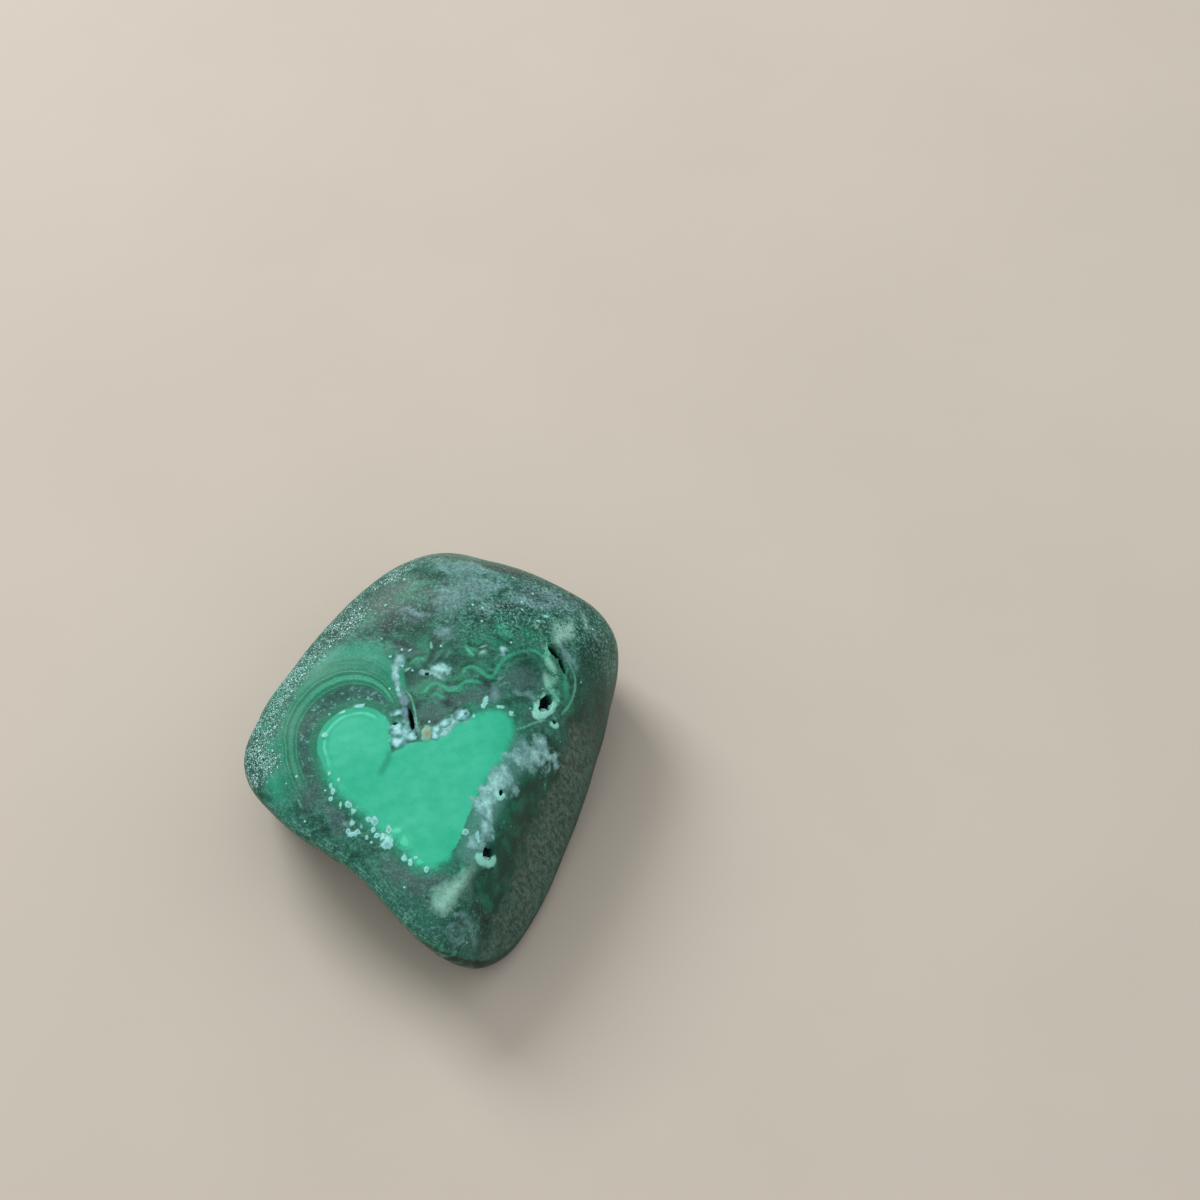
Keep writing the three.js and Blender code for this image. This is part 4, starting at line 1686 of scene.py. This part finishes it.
    def _vugs(self) -> None:
        """Pale lines, the rims of the vugs, and painted shade darkening their insides."""
        bench, look = self.bench, self.look
        vein = bench.step(bench.field("vein") + self.ragged * 0.25, 0.13, 0.0)
        self._lay(vein * bench.field("vein_share") * 0.5, look.pale_line)
        band = bench.step(bench.field("band") + self.ragged, 0.5, 0.0) * bench.field("band_share")
        self._lay(band * bench.step(self.grain, 0.4, 0.6) * 0.7, look.pale_line)
        self._lay(bench.step(bench.field("rim") + self.ragged, 0.15, 0.7) * 0.9, look.vug_rim)
        # Painted shade: darker the deeper a point lies in a pit.
        self._lay(bench.step(bench.field("cavity"), 0.1, 0.6), look.soot)

    def _fine_grain(self) -> None:
        """Fine light and dark grain, weakest on the pale patch and on the worn sides."""
        bench = self.bench
        calm = bench.step(bench.field("patch_gap"), -0.3, 0.2) * 0.88 + 0.12
        calm = calm * (1.0 - bench.step(bench.field("bevel"), -3.0, -1.0) * 0.3)
        calm = calm * (bench.field("rough") * 0.6 + 0.4)
        calm = calm * (1.0 - bench.step(bench.field(Mark.STRAW.value), 0.0, 0.4) * 0.6)
        calm = calm * (1.0 - bench.step(bench.field(Mark.CHALK.value), -0.1, 0.3) * 0.4)
        self.colour = bench.scaled(self.colour, (self.grain - 0.5) * calm * 2.6 + 1.0)

    def _frost_and_glints(self) -> None:
        """Bruised and frosted skin on the worn edges: dark specks and pale specks side by side, the pale
        ones partly frosting and partly painted glints.
        """
        bench, look = self.bench, self.look
        heavy = bench.field("frost") * (bench.step(self.medium, 0.36, 0.58) * 0.7 + 0.3)
        self._lay(bench.step(heavy, 0.05, 0.6) * 0.6, look.body_dark)
        fine = bench.noise(self.place, 0.14, 3.0, 0.85)
        self._lay(bench.step(fine, 0.5, 0.4) * bench.step(heavy, 0.05, 0.7) * 0.85, look.soot)
        # Pale specks and dots: partly frosting, partly painted glints.
        self._lay(bench.step(fine, 0.52, 0.62) * bench.step(heavy, 0.0, 0.9) * 0.75, look.frost)
        for size, share, strength in ((0.11, 0.7, 0.8), (0.16, 0.35, 0.9), (0.23, 0.1, 1.0)):
            dots = bench.dots(self.place, size, heavy * share + self.ragged * 0.5, 0.44)
            self._lay(dots * bench.step(heavy, 0.0, 0.25) * strength, look.frost)

    def _painted_glints(self) -> None:
        """Painted glints: single bright specks on the upper face, outside the patch and the bevel."""
        bench = self.bench
        bare = bench.step(bench.field("patch_gap"), 0.0, 0.6) * bench.field("upper")
        bare = bare * bench.step(bench.field(Mark.BROWN.value), 0.0, -0.4)
        bare = bare * bench.step(bench.field("bevel"), 0.0, -0.8)
        self._lay(bench.dots(self.place, 0.8, 0.16, 0.16) * bare * 0.8, self.look.frost)

    def _growths(self) -> None:
        """Crust and druse, with the stone showing through; a lump's darker foot is painted shade, and the
        pale tops of druse and the pale band inside a crust's edge are painted highlights.
        """
        bench = self.bench
        for kind in self.look.growths:
            cover = bench.field(kind.growth.value) + self.ragged * kind.ragged
            tone = bench.ramp(cover + self.ragged * 1.2 + (self.medium - 0.5) * 0.8, kind.stops)
            self._lay(bench.step(cover, -0.1, 0.24) * 0.92, tone)

    def _surface(self) -> bpy.types.Material:
        """Polish, fine relief, and the whole colour with its cast.

        Returns:
            The finished material.
        """
        bench, look = self.bench, self.look
        frost = bench.field("frost")
        height = self.grain * (frost * 0.04 + 0.006) + self.medium * 0.02
        return bench.dress(
            {
                "Base Color": bench.tinted(self.colour, look.cast),
                "Roughness": frost * 0.2 + (self.medium - 0.5) * 0.2 + look.roughness,
                "Normal": bench.bump(height, 0.6),
                "Specular IOR Level": look.shine,
            }
        )


@dataclass(frozen=True)
class DruseFinish:
    """Milky druse: a clouded pale tone that glints."""

    name: str = "milky_druse"
    pale: Tone = (156, 214, 208)
    cloud: Tone = (98, 150, 148)
    roughness: float = 0.28

    def build(self) -> bpy.types.Material:
        """Makes the material.

        Returns:
            The finished material.
        """
        bench = Bench(self.name)
        place = bench.place()
        clouds = bench.step(bench.noise(place, 0.35, 4.0, 0.6), 0.35, 0.65)
        return bench.dress(
            {
                "Base Color": bench.blend(clouds, self.cloud, self.pale),
                "Roughness": clouds * 0.2 + self.roughness,
                "Normal": bench.bump(bench.noise(place, 0.12, 3.0) * 0.02, 0.5),
            }
        )


# Studio

@dataclass(frozen=True)
class Studio:
    """Pale floor, soft light from the far left, and the camera.

    Lengths are metres and turns are degrees, apart from the floor's mottle, in millimetres.
    """

    floor_size: float = 4.0
    floor_tone: Tone = (204, 195, 182)
    floor_shade: Tone = (201, 192, 179)
    floor_roughness: float = 0.85
    floor_mottle: float = 30.0
    world_light: float = 0.62
    lens: float = 100.0
    sensor: float = 36.0
    camera_place: Spot = (0.01337, -0.15487, 0.22426)
    camera_tilt: float = 38.0
    key_place: Spot = (-0.28, 0.36, 0.36)
    key_size: float = 0.26
    key_power: float = 2.1

    def build(self) -> None:
        """Makes the floor, the lights and the camera."""
        self._floor()
        self._key_light()
        world = bpy.data.worlds.new("studio_world")
        world.use_nodes = True
        backdrop = world.node_tree.nodes["Background"]
        backdrop.inputs["Color"].default_value = (1.0, 1.0, 1.0, 1.0)
        backdrop.inputs["Strength"].default_value = self.world_light
        bpy.context.scene.world = world
        bpy.context.scene.view_settings.view_transform = "Standard"
        self._camera()

    def _floor(self) -> None:
        """Makes the floor, which isn't part of the stone."""
        mesh = bmesh.new()
        bmesh.ops.create_grid(mesh, x_segments=8, y_segments=8, size=self.floor_size / 2.0)
        data = bpy.data.meshes.new("floor")
        mesh.to_mesh(data)
        mesh.free()
        bench = Bench("pale_floor")
        mottle = bench.step(bench.noise(bench.place(), self.floor_mottle), 0.3, 0.7)
        tone = bench.blend(mottle, self.floor_shade, self.floor_tone)
        data.materials.append(bench.dress({"Base Color": tone, "Roughness": self.floor_roughness}))
        floor = bpy.data.objects.new("floor", data)
        bpy.context.collection.objects.link(floor)

    def _key_light(self) -> None:
        """Makes the square soft light that looks at the stone."""
        lamp = bpy.data.lights.new("key_light", "AREA")
        lamp.size = self.key_size
        lamp.energy = self.key_power
        light = bpy.data.objects.new("key_light", lamp)
        light.location = self.key_place
        light.rotation_euler = (-Vector(self.key_place)).to_track_quat("-Z", "Y").to_euler()
        bpy.context.collection.objects.link(light)

    def _camera(self) -> None:
        """Makes the camera that looks down on the stone."""
        data = bpy.data.cameras.new("camera")
        data.lens = self.lens
        data.sensor_width = self.sensor
        camera = bpy.data.objects.new("camera", data)
        camera.location = self.camera_place
        camera.rotation_euler = (math.radians(self.camera_tilt), 0.0, 0.0)
        bpy.context.collection.objects.link(camera)
        bpy.context.scene.camera = camera


def main() -> None:
    """Builds the studio, then the stone's skin, and then the druse in its vugs."""
    logging.basicConfig(level=logging.INFO, format="%(name)s %(message)s")
    Studio().build()
    stone = StoneSkin().build(MalachiteFinish(MalachiteLook()).build())
    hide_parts(STONE_NODE)
    druse = VugDruse().build(DruseFinish().build())
    for piece in (stone, druse):
        LOG.info("%s: %d triangles", piece.name, len(piece.data.polygons))


if __name__ == "__main__":
    main()
